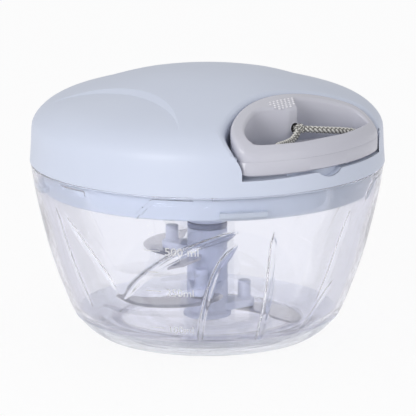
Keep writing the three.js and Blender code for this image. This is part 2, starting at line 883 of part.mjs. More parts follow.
function lidBase() {
  const plateRadius = lidRadius - lidWall - seatGap;
  const skirtInner = skirtRadius - skirtWall;
  const grooveTop = plateUnder - seatGap;
  const grooveDepth = skirtWall / 3;
  const collarRadiusHere = hubBoreRadius + hubCollarWall;
  const shell = turned([
    [hubBoreRadius, plateUnder - hubCollarDrop],
    [collarRadiusHere, plateUnder - hubCollarDrop],
    [collarRadiusHere, plateUnder],
    [skirtInner, plateUnder],
    [skirtInner, skirtBottom],
    [skirtRadius, skirtBottom],
    [skirtRadius, grooveTop - sealHeight],
    [skirtRadius - grooveDepth, grooveTop - sealHeight],
    [skirtRadius - grooveDepth, plateUnder + seatGap],
    [plateRadius, plateUnder + seatGap],
    [plateRadius, plateTop],
    [hubBoreRadius, plateTop],
    [hubBoreRadius, plateUnder - hubCollarDrop],
  ]);
  const low = skirtBottom + lidLugLift;
  const lugs = Array.from({ length: lugCount }, (_, i) =>
    lug(
      skirtRadius - skirtWall / 2,
      bowlInnerRadius(low) - seatGap,
      low,
      low + lugHeight,
      lugAngle + lugStaggerAngle + (i * fullTurn) / lugCount,
    ),
  );
  const holes = screwAngles.flatMap((angle) => [
    screwPost(screwRadius + seatGap, plateUnder - overrun, plateTop + overrun, angle),
    screwPost(screwHeadRadius + seatGap, plateUnder - overrun, plateUnder + plateThickness / 3, angle),
  ]);
  const body = shell.add(joined(lugs)).subtract(joined(holes));
  return pieceMesh("lid_base", lidPlastic, body);
}

function lidSeal() {
  const top = plateUnder - seatGap - sealLip;
  const low = top - sealHeight + 2 * seatGap;
  const inner = skirtRadius - skirtWall / 3 + seatGap;
  const outer = bowlInnerRadius(low) - seatGap;
  const middle = (low + top) / 2;
  const body = turned([
    [inner, low],
    [outer - (top - low) / 4, low],
    [outer, middle],
    [outer - (top - low) / 4, top],
    [inner, top],
    [inner, low],
  ]);
  return pieceMesh("lid_seal", silicone, body);
}

function housingScrew(index) {
  const angle = screwAngles[index];
  const seat = plateUnder + plateThickness / 3 - seatGap;
  const shank = screwPost(screwRadius, seat, plateUnder + screwLength, angle);
  const head = screwPost(screwHeadRadius, seat - screwHeadHeight, seat + screwHeadSink, angle);
  const bar = solid(new THREE.BoxGeometry(2 * screwRadius, screwRadius / 2, screwHeadHeight));
  const cross = [bar, spun(bar, fullTurn / 4)].map((slot) =>
    slot.translate([...screwPlace(angle), seat - screwHeadHeight]),
  );
  return pieceMesh(`housing_screw_${index + 1}`, polishedSteel, shank.add(head).subtract(joined(cross)));
}

function cordEyelet() {
  const back = -archBack;
  const inside = back + recessWall + seatGap;
  const body = barrel(eyeletRadius, back, inside + seatGap, 0, cordLevel)
    .add(barrel(eyeletRadius + eyeletLip, inside, inside + eyeletLipThickness, 0, cordLevel))
    .subtract(barrel(eyeletBore, back - overrun, inside + overrun, 0, cordLevel));
  return pieceMesh("cord_eyelet", polishedSteel, body);
}

// Drive train, stacked up the lid's axis
const socketFlangeLow = plateTop + runGap;
const cupLow = socketFlangeLow + socketFlangeHeight + seatGap;
const cupInside = cupLow + cupFloor;
const spoolLow = cordLevel - spoolGroove / 2 - spoolFlange;
const springFloor = cordLevel + spoolGroove / 2 + spoolFlange;
const springCupTop = springFloor + springCupHeight;
const axleTop = springCupTop + seatGap;

function driveSocket() {
  const socketTop = driveHeadTop + runGap;
  const axleSeat = socketTop + 2 * axleRadius;
  const bore = driveHeadRadius + runGap;
  const dogOuter = (bore + socketRadius) / 2;
  const dogLow = socketBottom + socketFlangeHeight;
  const dogAngle = fullTurn / (2 * driveDogCount);
  const body = turned(
    [
      [0, socketBottom],
      [socketRadius - socketFlangeHeight / 4, socketBottom],
      [socketRadius, socketBottom + socketFlangeHeight],
      [socketRadius, socketFlangeLow],
      [socketFlangeRadius, socketFlangeLow],
      [socketFlangeRadius, socketFlangeLow + socketFlangeHeight],
      [0, socketFlangeLow + socketFlangeHeight],
    ],
    columnSteps,
  )
    .subtract(post(bore, socketBottom - overrun, socketTop))
    .add(driveDogs(driveCoreRadius + runGap, dogOuter, dogLow, socketTop + seatGap, dogAngle))
    .subtract(post(axleBore, axleSeat, lidHeight));
  return pieceMesh("drive_socket", rotorPlastic, body);
}

// A saw tooth of the cup: [share of the way round to the next, share of its depth].
const cupToothShares = [
  [0, 0],
  [0.5, 0.5],
  [0.94, 1],
];

// Cup with saw teeth round its inside, which the pawls push when the cord is pulled.
function clutchCup() {
  const inner = cupRadius - cupWall;
  const sweep = fullTurn / cupToothCount;
  const teeth = Array.from({ length: cupToothCount }, (_, i) =>
    cupToothShares.map(([round, deep]) => polar(inner - cupToothDepth * deep, sweep * (i + round))),
  ).flat();
  const body = post(cupRadius, cupLow, cupLow + cupHeight, 0, 0, columnSteps)
    .subtract(plate(teeth, cupInside, cupLow + cupHeight + overrun))
    .subtract(post(axleBore, cupLow - overrun, cupLow + cupHeight));
  return pieceMesh("clutch_cup", innerPlastic, body);
}

const pawlTipWidth = 0.67 * pawlWidth;
const pawlHubRadius = 0.8 * pawlWidth;
const pawlHubAngle = 200;
const pawlReach = cupRadius - cupWall - pawlTipGap;
const pawlAngle = (index) => pawlStartAngle + (fullTurn / pawlCount) * index;
const pawlTop = spoolLow - runGap;
const pawlLow = pawlTop - pawlThickness;
const pawlPost = (radius, low, high) => post(radius, low, high, pawlPivotRadius, 0, screwSteps);
function pawl(index) {
  const outline = [
    ...arc(pawlPivotRadius, 0, pawlHubRadius, 0, pawlHubAngle, smallSteps / 2),
    polar(pawlReach - pawlTipWidth, -pawlLagAngle),
    polar(pawlReach, -pawlLagAngle),
  ];
  const bore = pawlPost(pawlPinRadius + seatGap, pawlLow - overrun, pawlTop + overrun);
  const body = plate(outline, pawlLow, pawlTop).subtract(bore);
  return pieceMesh(`clutch_pawl_${index + 1}`, innerPlastic, spun(body, pawlAngle(index)));
}

function spool() {
  const profile = [
    [axleBore, spoolLow],
    [spoolFlangeRadius, spoolLow],
    [spoolFlangeRadius, spoolLow + spoolFlange],
    [spoolCoreRadius, spoolLow + spoolFlange],
    [spoolCoreRadius, springFloor - spoolFlange],
    [spoolFlangeRadius, springFloor - spoolFlange],
    [spoolFlangeRadius, springFloor],
    [springCupRadius, springFloor],
    [springCupRadius, springCupTop],
    [springCupRadius - springCupWall, springCupTop],
    [springCupRadius - springCupWall, springFloor - springStrip],
    [axleBore, springFloor - springStrip],
    [axleBore, spoolLow],
  ];
  const pin = pawlPost(pawlPinRadius, pawlLow, spoolLow + spoolFlange / 2);
  const pins = Array.from({ length: pawlCount }, (_, i) => spun(pin, pawlAngle(i)));
  return pieceMesh("cord_spool", innerPlastic, turned(profile, columnSteps).add(joined(pins)));
}

// Flat spiral strip or cord about Z, from one radius inwards, as places at one level.
function spiral(outerRadius, pitch, turns, stepsPerTurn, startAngle, level) {
  const steps = Math.round(turns * stepsPerTurn);
  return Array.from({ length: steps + 1 }, (_, i) => {
    const gone = (turns * i) / steps;
    const radius = outerRadius - pitch * gone;
    const angle = startAngle * degree + turn * gone;
    return new THREE.Vector3(radius * Math.cos(angle), radius * Math.sin(angle), level);
  });
}

function recoilSpring() {
  const route = spiral(springOuter, springPitch, springTurnCount, springStepsPerTurn, 0, 0);
  const low = springFloor - springStrip + seatGap;
  const high = springCupTop - springStrip - 2 * seatGap;
  const rings = route.map((place) => {
    const out = place.clone().normalize().multiplyScalar(springStrip / 2);
    const corner = (side, height) => [place.x + side * out.x, place.y + side * out.y, height];
    return [corner(1, low), corner(1, high), corner(-1, high), corner(-1, low)];
  });
  return pieceMesh("recoil_spring", springSteel, lofted(rings));
}

function springCover() {
  const low = springCupTop + seatGap;
  const body = tube(springCupRadius, arborRadius + runGap, low, low + springCoverThickness, columnSteps);
  return pieceMesh("spring_cover", innerPlastic, body);
}

function axlePin() {
  const low = driveHeadTop + runGap + 2 * axleRadius + seatGap;
  return pieceMesh("axle_pin", polishedSteel, post(axleRadius, low, axleTop));
}

// Handle

const handleGrow = -handleGap;
const handleLow = recessFloor + seatGap;
const handleFrontSteps = 16;
const handleBackSteps = 32;
const padFlatShare = 0.45;

// Inner and outer edge of the handle's ring, by angle about its centre.
function handleRing() {
  const angles = archAngles(handleGrow, lidWallRadius, handleFrontSteps, handleBackSteps);
  return angles.map((angle) => {
    const outer = archPoint(angle, archReach(angle, handleGrow, lidWallRadius));
    const reach = archReach(angle, handleGrow - handleRim, lidWallRadius - handleFront);
    const across = Math.abs(reach * Math.cos(angle)) / thumbPadHalfWidth;
    const bulge = thumbPadBulge * (1 - THREE.MathUtils.smoothstep(across, padFlatShare, 1));
    return { outer, inner: archPoint(angle, reach - (Math.sin(angle) > 0 ? bulge : 0)) };
  });
}

// Closed ring lofted through one cross-section at each angle.
function handleHalf(section) {
  return lofted(handleRing().map(section), false);
}

const topShares = [0, 0.12, 0.45, 1];
const widestRoundShare = 0.45;
function handleTop() {
  const section = ({ outer, inner }) => {
    const dx = inner[0] - outer[0];
    const dy = inner[1] - outer[1];
    const width = Math.hypot(dx, dy);
    const round = Math.min(handleRound, widestRoundShare * width);
    const crown = topShares.map((share) => round * share);
    const inwards = [...crown, ...crown.map((step) => width - step).reverse()];
    const over = inwards.map((step) => {
      const x = outer[0] + (dx * step) / width;
      const y = outer[1] + (dy * step) / width;
      const edge = round - Math.min(step, width - step, round);
      const fall = round - Math.sqrt(round * round - edge * edge);
      return [x, y, domeHeight(x, y) - fall];
    });
    const foot = handleParting + seatGap;
    return [[...outer, foot], ...over, [...inner, foot]];
  };
  const hole = barrel(cordHoleRadius, -handleCentre, -spoolFlangeRadius, 0, cordLevel, 16);
  const front = strandEnd(1)[1];
  const pockets = [-1, 1].map((side) =>
    barrel(strandPocketRadius, front - seatGap, -handleCentre, side * strandEndX, strandEndLevel, 12),
  );
  const body = handleHalf(section).subtract(hole).subtract(joined(pockets));
  return pieceMesh("pull_handle_top", handlePlastic, body);
}

function handleBottom() {
  const chamfer = handleRound / 3;
  const section = ({ outer, inner }) => {
    const width = Math.hypot(inner[0] - outer[0], inner[1] - outer[1]);
    const at = (step) => [0, 1].map((k) => outer[k] + ((inner[k] - outer[k]) * step) / width);
    return [
      [...at(chamfer), handleLow],
      [...at(0), handleLow + chamfer],
      [...at(0), handleParting],
      [...at(width), handleParting],
      [...at(width), handleLow + chamfer],
      [...at(width - chamfer), handleLow],
    ];
  };
  return pieceMesh("pull_handle_bottom", handlePlastic, handleHalf(section));
}

// Cord, from the spool through the lid and into the handle

const cordLeave = Math.acos(cordWindOuter / spoolFlangeRadius) / degree - fullTurn / 4;
const knotY = -archBack - handleGap - handleRim - thumbPadBulge - knotRadius - cordRadius;
const strandWallY = -Math.sqrt((lidWallRadius - handleFront) ** 2 - strandEndX ** 2);
function strandEnd(side) {
  return [side * strandEndX, strandWallY - strandPocket, strandEndLevel];
}

// Place on the straight stretch where the cord leaves the winding.
function windingEnd(reach) {
  const [x, y] = polar(cordWindOuter, cordLeave);
  const way = [Math.sin(cordLeave * degree), -Math.cos(cordLeave * degree)];
  return new THREE.Vector3(x + way[0] * reach, y + way[1] * reach, cordLevel);
}

const windingSides = 6;
function spoolWinding() {
  const turns = cordWindTurnCount;
  const wound = spiral(cordWindOuter, cordWindPitch, turns, cordWindStepsPerTurn, cordLeave, cordLevel);
  const last = wound[wound.length - 1];
  const inwards = last.clone().sub(wound[wound.length - 2]).normalize();
  const route = [
    windingEnd(2 * cordRadius),
    windingEnd(cordRadius),
    ...wound,
    last.clone().addScaledVector(inwards, cordRadius),
    last.clone().addScaledVector(inwards, 2 * cordRadius),
  ];
  let least = Infinity;
  route.forEach((place, i) => {
    for (let j = i + cordWindStepsPerTurn / 2; j < route.length; j += 1) {
      least = Math.min(least, place.distanceTo(route[j]) - 2 * cordRadius);
    }
  });
  console.log(`least gap of the winding to itself: ${least.toFixed(2)} mm`);
  const body = roundTube(smoothCurve(route), cordRadius, windingSides, route.length);
  return pieceMesh("cord_winding", braid, body);
}

const cordRunShares = [0, 0.3, 0.65, 0.93];
const cordSides = 8;
const cordSteps = 12;
function pullCord() {
  const start = windingEnd(2 * cordRadius + seatGap);
  const bend = new THREE.Vector3(0, -spoolFlangeRadius, cordLevel);
  const runs = cordRunShares.map((share) => start.clone().lerp(bend, share));
  const straight = [2 * cordRadius - bend.y, -(bend.y + knotY) / 2, -knotY - knotRadius - seatGap];
  const places = [...runs, ...straight.map((reach) => new THREE.Vector3(0, -reach, cordLevel))];
  return pieceMesh("pull_cord", braid, roundTube(smoothCurve(places), cordRadius, cordSides, cordSteps));
}

function cordKnot() {
  const ball = new THREE.IcosahedronGeometry(knotRadius, 1);
  return pieceMesh("cord_knot", braid, solid(ball.translate(0, knotY, cordLevel)));
}

// A strand's route from the knot to the handle's front: shares of the way out, forward, down and of its sag.
const strandShares = [
  [0.4, 0.25, 0, 0.6],
  [0.72, 0.52, 0, 1],
  [0.97, 0.8, 0.9, 0.3],
];
function cordStrand(name, side, sag) {
  const [endX, endY, endLevel] = strandEnd(side);
  const fall = endLevel - cordLevel;
  const middle = strandShares.map(([out, forward, down, slack]) => [
    endX * out,
    knotY + (strandWallY - knotY) * forward,
    cordLevel + fall * down - sag * slack,
  ]);
  const places = [
    [side * (knotRadius + seatGap), knotY - cordRadius, cordLevel],
    ...middle,
    [endX, strandWallY - cordRadius / 4, endLevel],
    [endX, endY, endLevel],
  ];
  const curve = smoothCurve(places.map((place) => new THREE.Vector3(...place)));
  return pieceMesh(name, braid, roundTube(curve, cordRadius, cordSides, cordSteps));
}

// Assembly, by what moves together

const group = (...meshes) => new THREE.Group().add(...meshes);

const bowlGroup = group(bowl(), antiSlipBase(), pivotPin());

const rotorGroup = group(
  rotorColumn(),
  rotorCollar(),
  crescentBlade("upper_blade", upperArmAngle, upperArmTop),
  crescentBlade("middle_blade", middleArmAngle, middleArmTop),
  crescentBlade("lower_blade", lowerArmAngle, lowerArmTop),
  daggerBlade(),
);

const lidGroup = group(
  lidShell(),
  lidBase(),
  lidSeal(),
  cordEyelet(),
  axlePin(),
  ...screwAngles.map((_, index) => housingScrew(index)),
);

const driveGroup = group(driveSocket(), clutchCup());

const spoolGroup = group(
  spool(),
  spoolWinding(),
  recoilSpring(),
  springCover(),
  ...Array.from({ length: pawlCount }, (_, index) => pawl(index)),
);

const handleGroup = group(
  handleTop(),
  handleBottom(),
  pullCord(),
  cordKnot(),
  cordStrand("cord_strand_left", -1, cordRadius),
  cordStrand("cord_strand_right", 1, 0),
);

export default group(bowlGroup, rotorGroup, lidGroup, driveGroup, spoolGroup, handleGroup);
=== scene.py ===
import math

import bmesh
import bpy
import numpy as np
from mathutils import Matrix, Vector
from mathutils.geometry import delaunay_2d_cdt


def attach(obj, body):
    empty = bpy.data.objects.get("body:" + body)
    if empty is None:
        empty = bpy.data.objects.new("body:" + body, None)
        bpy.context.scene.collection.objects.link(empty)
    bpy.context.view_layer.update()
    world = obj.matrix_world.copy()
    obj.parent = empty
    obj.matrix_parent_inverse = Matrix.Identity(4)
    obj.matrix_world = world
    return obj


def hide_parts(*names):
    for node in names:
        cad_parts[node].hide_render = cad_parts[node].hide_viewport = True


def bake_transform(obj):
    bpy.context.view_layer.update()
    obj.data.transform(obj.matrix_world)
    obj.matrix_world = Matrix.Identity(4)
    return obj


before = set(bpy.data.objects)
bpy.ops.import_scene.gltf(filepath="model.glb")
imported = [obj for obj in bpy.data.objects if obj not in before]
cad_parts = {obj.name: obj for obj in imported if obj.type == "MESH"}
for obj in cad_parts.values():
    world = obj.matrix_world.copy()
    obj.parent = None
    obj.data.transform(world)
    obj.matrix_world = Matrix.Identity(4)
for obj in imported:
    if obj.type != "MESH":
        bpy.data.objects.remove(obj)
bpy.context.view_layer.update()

mm = 0.001
turn = 2 * math.pi


# Sizes, repeated from the solids

lid_radius = 62.5 * mm
lid_height = 94 * mm
seam_height = 61.9 * mm
lid_wall = 2.3 * mm
wall_radius = 61.84 * mm
bowl_shoulder_radius = 47.2 * mm
bowl_rim_radius = 62.3 * mm
bowl_rim = 61.75 * mm
bowl_wall = 2.1 * mm
bowl_rim_wall = 1.5 * mm
bowl_floor_top = 4.5 * mm
bowl_floor_under = 2.2 * mm
base_top = 7.4 * mm
base_foot_radius = 38.5 * mm
base_foot_inner = 31 * mm
seat_gap = 0.3 * mm
arch_centre = 82 * mm
arch_radius = 49.2 * mm
recess_half_width = 32.8 * mm
recess_floor = 68.2 * mm
handle_centre = 52 * mm
cord_level = 79.7 * mm
cord_radius = 1.1 * mm
spool_flange_radius = 28 * mm
handle_gap = 1 * mm
handle_rim = 4.3 * mm
handle_front = 3 * mm
handle_low = 68.5 * mm
handle_parting = 73.35 * mm
thumb_pad_bulge = 5.6 * mm
knot_place = -46.9 * mm
strand_end_x = 20.3 * mm
strand_level = 75.38 * mm
skirt_radius = 58 * mm
skirt_wall = 2 * mm
skirt_bottom = 52.75 * mm
plate_under = 62.2 * mm
plate_top = 64.2 * mm
hub_bore = 8 * mm
hub_wall = 2.4 * mm
hub_drop = 6 * mm
column_radius = 7.4 * mm
column_foot = 5.4 * mm
column_top = 37 * mm
blade_arc = 20.01 * mm

# Camera, from the photograph's perspective
camera_azimuth = math.radians(-42.5)
camera_distance = 1.3
camera_height = 0.34873
camera_pitch = 0.2304
camera_lens = 326.8
sensor_width = 36
photo_side = 416
axis_pixel = 207.3


def smoothstep(value, low, high):
    share = np.clip((np.asarray(value, float) - low) / (high - low), 0, 1)
    return share * share * (3 - 2 * share)


def srgb(red, green, blue):
    """Linear colour of an 8-bit screen colour."""
    def linear(level):
        share = level / 255
        return share / 12.92 if share <= 0.04045 else ((share + 0.055) / 1.055) ** 2.4
    return (linear(red), linear(green), linear(blue), 1)


# Materials


class Value:
    """A node's output, with arithmetic that adds Math nodes."""

    def __init__(self, finish, socket):
        self.finish = finish
        self.socket = socket

    def __add__(self, other):
        return self.finish.math("ADD", self, other)

    def __sub__(self, other):
        return self.finish.math("SUBTRACT", self, other)

    def __rsub__(self, other):
        return self.finish.math("SUBTRACT", other, self)

    def __mul__(self, other):
        return self.finish.math("MULTIPLY", self, other)

    def __truediv__(self, other):
        return self.finish.math("DIVIDE", self, other)

    def __pow__(self, other):
        return self.finish.math("POWER", self, other)

    __radd__ = __add__
    __rmul__ = __mul__


class Finish:
    """A material or a world under construction."""

    def __init__(self, owner):
        owner.use_nodes = True
        self.owner = owner
        self.tree = owner.node_tree
        self.tree.nodes.clear()

    def add(self, kind, settings=None, inputs=None, output=0):
        """Adds a node of a type, with its settings first and then its sockets' values or links."""
        node = self.tree.nodes.new("ShaderNode" + kind)
        for key, setting in (settings or {}).items():
            setattr(node, key, setting)
        for key, value in (inputs or {}).items():
            if isinstance(value, Value):
                self.tree.links.new(value.socket, node.inputs[key])
            else:
                node.inputs[key].default_value = value
        return Value(self, node.outputs[output]) if node.outputs else node

    def math(self, operation, *values):
        return self.add("Math", {"operation": operation}, dict(enumerate(values)))

    def place(self):
        return self.add("TexCoord", output="Object")

    def noise(self, scale, detail=3, roughness=0.55, stretch=(1, 1, 1)):
        mapped = self.add("Mapping", {}, {"Vector": self.place(), "Scale": stretch})
        sockets = {"Vector": mapped, "Scale": scale, "Detail": detail, "Roughness": roughness}
        return self.add("TexNoise", {}, sockets)

    def blend(self, share, first, second):
        """Colour between two colours."""
        settings = {"data_type": "RGBA"}
        return self.add("Mix", settings, {"Factor": share, 6: first, 7: second}, output=2)

    def bump(self, height, strength, distance):
        return self.add("Bump", {}, {"Height": height, "Strength": strength, "Distance": distance})

    def surface(self, **sockets):
        """Principled surface; the names of its sockets are given with underscores."""
        inputs = {key.replace("_", " "): value for key, value in sockets.items()}
        return self.add("BsdfPrincipled", {}, inputs)

    def see_through(self, body, colour, least):
        """Finishes with a body that lets a share of the light pass straight, and all of it for shadows."""
        passed = self.add("BsdfTransparent", {}, {"Color": colour})
        share = self.math("MAXIMUM", self.add("LightPath", output="Is Shadow Ray"), least)
        return self.done(self.add("MixShader", {}, {0: share, 1: body, 2: passed}))

    def done(self, surface, kind="OutputMaterial"):
        self.add(kind, {}, {"Surface": surface})
        return self.owner


def new_finish(name):
    return Finish(bpy.data.materials.new(name))


def moulded_plastic(name, colour, shade, roughness, grain):
    """Injection-moulded plastic: faint clouding, a fine spark-eroded grain and roughness that wanders."""
    finish = new_finish(name)
    cloud = finish.noise(38, 2)
    fine = finish.noise(2600, 2, 0.6)
    speck = finish.noise(9000, 1)
    return finish.done(
        finish.surface(
            Base_Color=finish.blend(cloud * 0.7 + speck * 0.3, colour, shade),
            Roughness=roughness - 0.05 + cloud * 0.06 + fine * 0.04,
            IOR=1.47,
            Normal=finish.bump(fine, grain, 0.00004),
        )
    )


def clear_plastic():
    """Clear styrene with a faint lilac tint that deepens where it is seen edge on, and almost no shadow."""
    finish = new_finish("clear_styrene")
    facing = finish.add("LayerWeight", {}, {"Blend": 0.5}, output="Facing")
    flow = finish.noise(26, 2, stretch=(1, 1, 0.35))
    body = finish.surface(
        Base_Color=finish.blend(facing**3, srgb(250, 251, 255), srgb(188, 187, 212)),
        Roughness=0.01 + flow * 0.015,
        IOR=1.3,
        Transmission_Weight=1.0,
        Normal=finish.bump(flow, 0.02, 0.0004),
    )
    return finish.see_through(body, srgb(250, 249, 253), 0.18)


def soft_base():
    """Nearly clear, faintly clouded silicone of the base ring."""
    finish = new_finish("clear_silicone")
    cloud = finish.noise(60, 3)
    facing = finish.add("LayerWeight", {}, {"Blend": 0.4}, output="Facing")
    body = finish.surface(
        Base_Color=finish.blend(facing * 0.6 + cloud * 0.1, srgb(252, 253, 255), srgb(234, 238, 250)),
        Roughness=0.02 + cloud * 0.03,
        IOR=1.24,
        Transmission_Weight=0.94,
        Normal=finish.bump(finish.noise(900, 2), 0.02, 0.0001),
    )
    return finish.see_through(body, srgb(248, 249, 253), 0.4)


def polished_steel(name, colour, roughness, direction=(30, 1, 1)):
    """Stainless sheet with fine rolling lines and faint wear."""
    finish = new_finish(name)
    lines = finish.noise(420, 3, 0.7, stretch=direction)
    wear = finish.noise(90, 4, 0.65)
    worn = tuple(0.82 * level for level in colour[:3]) + (1,)
    return finish.done(
        finish.surface(
            Base_Color=finish.blend(wear, colour, worn),
            Metallic=1.0,
            Roughness=roughness + lines * 0.1 + wear * 0.05,
            Normal=finish.bump(lines, 0.12, 0.00003),
        )
    )


def yarn(name, light, dark):
    """Polyester yarn: fibres along the strand and a soft, broken colour."""
    finish = new_finish(name)
    fibre = finish.noise(3200, 3, 0.7)
    shade = finish.noise(700, 2)
    return finish.done(
        finish.surface(
            Base_Color=finish.blend(fibre * 0.55 + shade * 0.35, light, dark),
            Roughness=0.72 + fibre * 0.2,
            Sheen_Weight=0.25,
            Normal=finish.bump(fibre, 0.5, 0.00008),
        )
    )


def frosted_mark():
    """Raised marks of the bowl, with a frosted face that catches the light."""
    finish = new_finish("frosted_mark")
    frost = finish.noise(4000, 2)
    return finish.done(
        finish.surface(
            Base_Color=finish.blend(frost, srgb(255, 255, 255), srgb(236, 236, 244)),
            Roughness=0.4 + frost * 0.2,
            Transmission_Weight=0.35,
            Normal=finish.bump(frost, 0.3, 0.00005),
        )
    )


lid_finish = moulded_plastic("lid_plastic", srgb(206, 213, 229), srgb(200, 207, 224), 0.42, 0.12)
handle_finish = moulded_plastic("handle_plastic", srgb(200, 200, 210), srgb(193, 193, 204), 0.24, 0.1)
rotor_finish = moulded_plastic("rotor_plastic", srgb(184, 190, 209), srgb(175, 181, 201), 0.36, 0.1)
inner_finish = moulded_plastic("inner_plastic", srgb(232, 234, 238), srgb(222, 225, 230), 0.45, 0.12)
seal_finish = moulded_plastic("seal_silicone", srgb(236, 239, 246), srgb(226, 230, 240), 0.5, 0.1)
clear_finish = clear_plastic()
base_finish = soft_base()
blade_finish = polished_steel("blade_steel", srgb(184, 182, 186), 0.18)
pin_finish = polished_steel("pin_steel", srgb(205, 206, 209), 0.2)
spring_finish = polished_steel("spring_steel", srgb(120, 123, 130), 0.3, (1, 1, 20))
light_yarn = yarn("light_yarn", srgb(236, 235, 230), srgb(196, 195, 190))
grey_yarn = yarn("grey_yarn", srgb(142, 140, 136), srgb(98, 97, 94))
# The dots are the handle's own plastic; their lighter colour is painted highlight, for the light that the
# small bumps catch.
dot_highlight_finish = moulded_plastic("dot_plastic_painted_highlight", srgb(232, 231, 236), srgb(222, 221, 228), 0.3, 0.08)
# The collar's dark blue-grey is painted shade: it stands for the shadow in the gap under the lid's hub.
collar_shade_finish = moulded_plastic("collar_painted_shade", srgb(86, 92, 115), srgb(78, 84, 107), 0.4, 0.1)
skirt_finish = moulded_plastic("skirt_plastic", srgb(190, 198, 209), srgb(184, 192, 204), 0.4, 0.1)
# Near-black painted shadow for the depth of the cord hole.
hole_shadow_finish = moulded_plastic("hole_shadow", srgb(40, 38, 38), srgb(24, 23, 24), 0.8, 0.1)
mark_finish = frosted_mark()


# Making pieces


def piece(name, places, faces, material, body, slot, nodes=(), sharp=None, second=None, picks=None):
    """A mesh that rides on a body and may stand for CAD nodes. Faces turn smoothly up to the sharp angle."""
    mesh = bpy.data.meshes.new(name)
    mesh.from_pydata([tuple(place) for place in places], [], [tuple(face) for face in faces])
    if second is not None:
        mesh.polygons.foreach_set("material_index", np.asarray(picks, np.int32))
    made = bmesh.new()
    made.from_mesh(mesh)
    bmesh.ops.remove_doubles(made, verts=made.verts, dist=0.002 * mm)
    bmesh.ops.dissolve_degenerate(made, edges=made.edges, dist=0.001 * mm)
    bmesh.ops.recalc_face_normals(made, faces=made.faces)
    made.to_mesh(mesh)
    made.free()
    mesh.materials.append(material)
    if second is not None:
        mesh.materials.append(second)
    mesh.shade_smooth()
    if sharp is not None:
        mesh.set_sharp_from_angle(angle=math.radians(sharp))
    thing = bpy.data.objects.new(name, mesh)
    bpy.context.scene.collection.objects.link(thing)
    if body:
        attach(thing, body)
    if nodes:
        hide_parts(*nodes)
    return thing


def run_along(path):
    """Distance along a path at each of its places."""
    return np.concatenate([[0], np.cumsum(np.linalg.norm(np.diff(path, axis=0), axis=1))])


def in_mm(rows):
    """Places that are written in millimetres."""
    return [tuple(mm * number for number in row) for row in rows]


def arc(radius, angles, centre=(0, 0)):
    """Places in the plane at angles about a centre."""
    return np.column_stack([np.cos(angles), np.sin(angles)]) * radius + centre


def circle(radius, count, centre=(0, 0)):
    return arc(radius, np.arange(count) * turn / count, centre)


def grid_faces(rows, columns, closed=True, looped=False):
    """Quads between rows of places. A closed row joins its first place, and a looped grid its first row."""
    here = np.arange(columns if closed else columns - 1)
    after = (here + 1) % columns
    row = np.stack([here, after, columns + after, columns + here], axis=-1)
    starts = columns * np.arange(rows if looped else rows - 1)
    return ((starts[:, None, None] + row) % (rows * columns)).reshape(-1, 4).tolist()


def capped_grid(rows, columns):
    """Quads between closed rows of places, with a face over the first row and over the last."""
    last = (rows - 1) * columns
    return grid_faces(rows, columns) + [tuple(range(columns))[::-1], tuple(range(last, last + columns))]


def turned(profile, steps):
    """Places and faces of a profile of (radius, height) turned about Z."""
    angles = np.arange(steps) * turn / steps
    radius, height = np.maximum(np.array(profile, float), [[1e-7, -1]]).T[:, :, None]
    around = [radius * np.cos(angles), radius * np.sin(angles), height * np.ones(steps)]
    return np.stack(around, axis=-1).reshape(-1, 3), grid_faces(len(profile), steps)


def bent(start, corner, end, share):
    """Place at a share of the way along a curve that turns within a corner."""
    return (1 - share) ** 2 * start + 2 * share * (1 - share) * corner + share * share * end


def rounded(corners, radius, steps=4, closed=True):
    """Outline with its corners rounded; a corner's own radius may follow its two coordinates."""
    count = len(corners)
    out = []
    for i, corner in enumerate(corners):
        here = np.array(corner[:2], float)
        own = corner[2] if len(corner) > 2 else radius
        if own == 0 or (not closed and i in (0, count - 1)):
            out.append(here)
            continue
        before = np.array(corners[i - 1][:2], float) - here
        after = np.array(corners[(i + 1) % count][:2], float) - here
        reach_before = np.linalg.norm(before)
        reach_after = np.linalg.norm(after)
        cut = min(own, 0.48 * reach_before, 0.48 * reach_after)
        start = here + before * cut / reach_before
        end = here + after * cut / reach_after
        out.extend(bent(start, here, end, share) for share in np.linspace(0, 1, steps + 1))
    return np.array(out)


def ring(corners, radius, steps=240, corner_steps=4):
    """Closed profile with rounded corners turned about Z."""
    outline = rounded(corners, radius, corner_steps)
    return turned(np.vstack([outline, outline[:1]]), steps)


def moved(part, spin=0.0, shift=(0, 0, 0)):
    """Places and faces turned about Z and shifted."""
    places, faces = part
    c, s = math.cos(spin), math.sin(spin)
    places = np.asarray(places) @ np.array([[c, s, 0], [-s, c, 0], [0, 0, 1]]) + np.array(shift)
    return places, faces


def slab(outline, low, high, edge, steps=3):
    """Plan outline standing between two heights, with rounded top and bottom edges."""
    outline = np.asarray(outline, float)
    count = len(outline)
    after = np.roll(outline, -1, axis=0)
    way = after - np.roll(outline, 1, axis=0)
    out = np.stack([way[:, 1], -way[:, 0]], axis=-1)
    out /= np.maximum(np.linalg.norm(out, axis=1, keepdims=True), 1e-9)
    area = 0.5 * np.sum(outline[:, 0] * after[:, 1] - after[:, 0] * outline[:, 1])
    inward = -out if area > 0 else out
    rows = []
    for part in np.linspace(0, math.pi / 2, steps + 1):
        rows.append((edge * (1 - math.sin(part)), low + edge * (1 - math.cos(part))))
    rows += [(inset, high - (level - low)) for inset, level in rows[::-1]]
    places = [np.column_stack([outline + inward * inset, np.full(count, level)]) for inset, level in rows]
    return np.vstack(places), capped_grid(len(rows), count)


def frames(path):
    """Two cross directions at each place of a path, carried along it without twist."""
    tangents = np.gradient(path, axis=0)
    tangents /= np.linalg.norm(tangents, axis=1, keepdims=True)
    side = np.cross(tangents[0], (0, 0, 1))
    if np.linalg.norm(side) < 1e-3:
        side = np.cross(tangents[0], (1, 0, 0))
    sides = []
    for tangent in tangents:
        side = side - tangent * (side @ tangent)
        side = side / np.linalg.norm(side)
        sides.append(side)
    sides = np.array(sides)
    return sides, np.cross(tangents, sides)


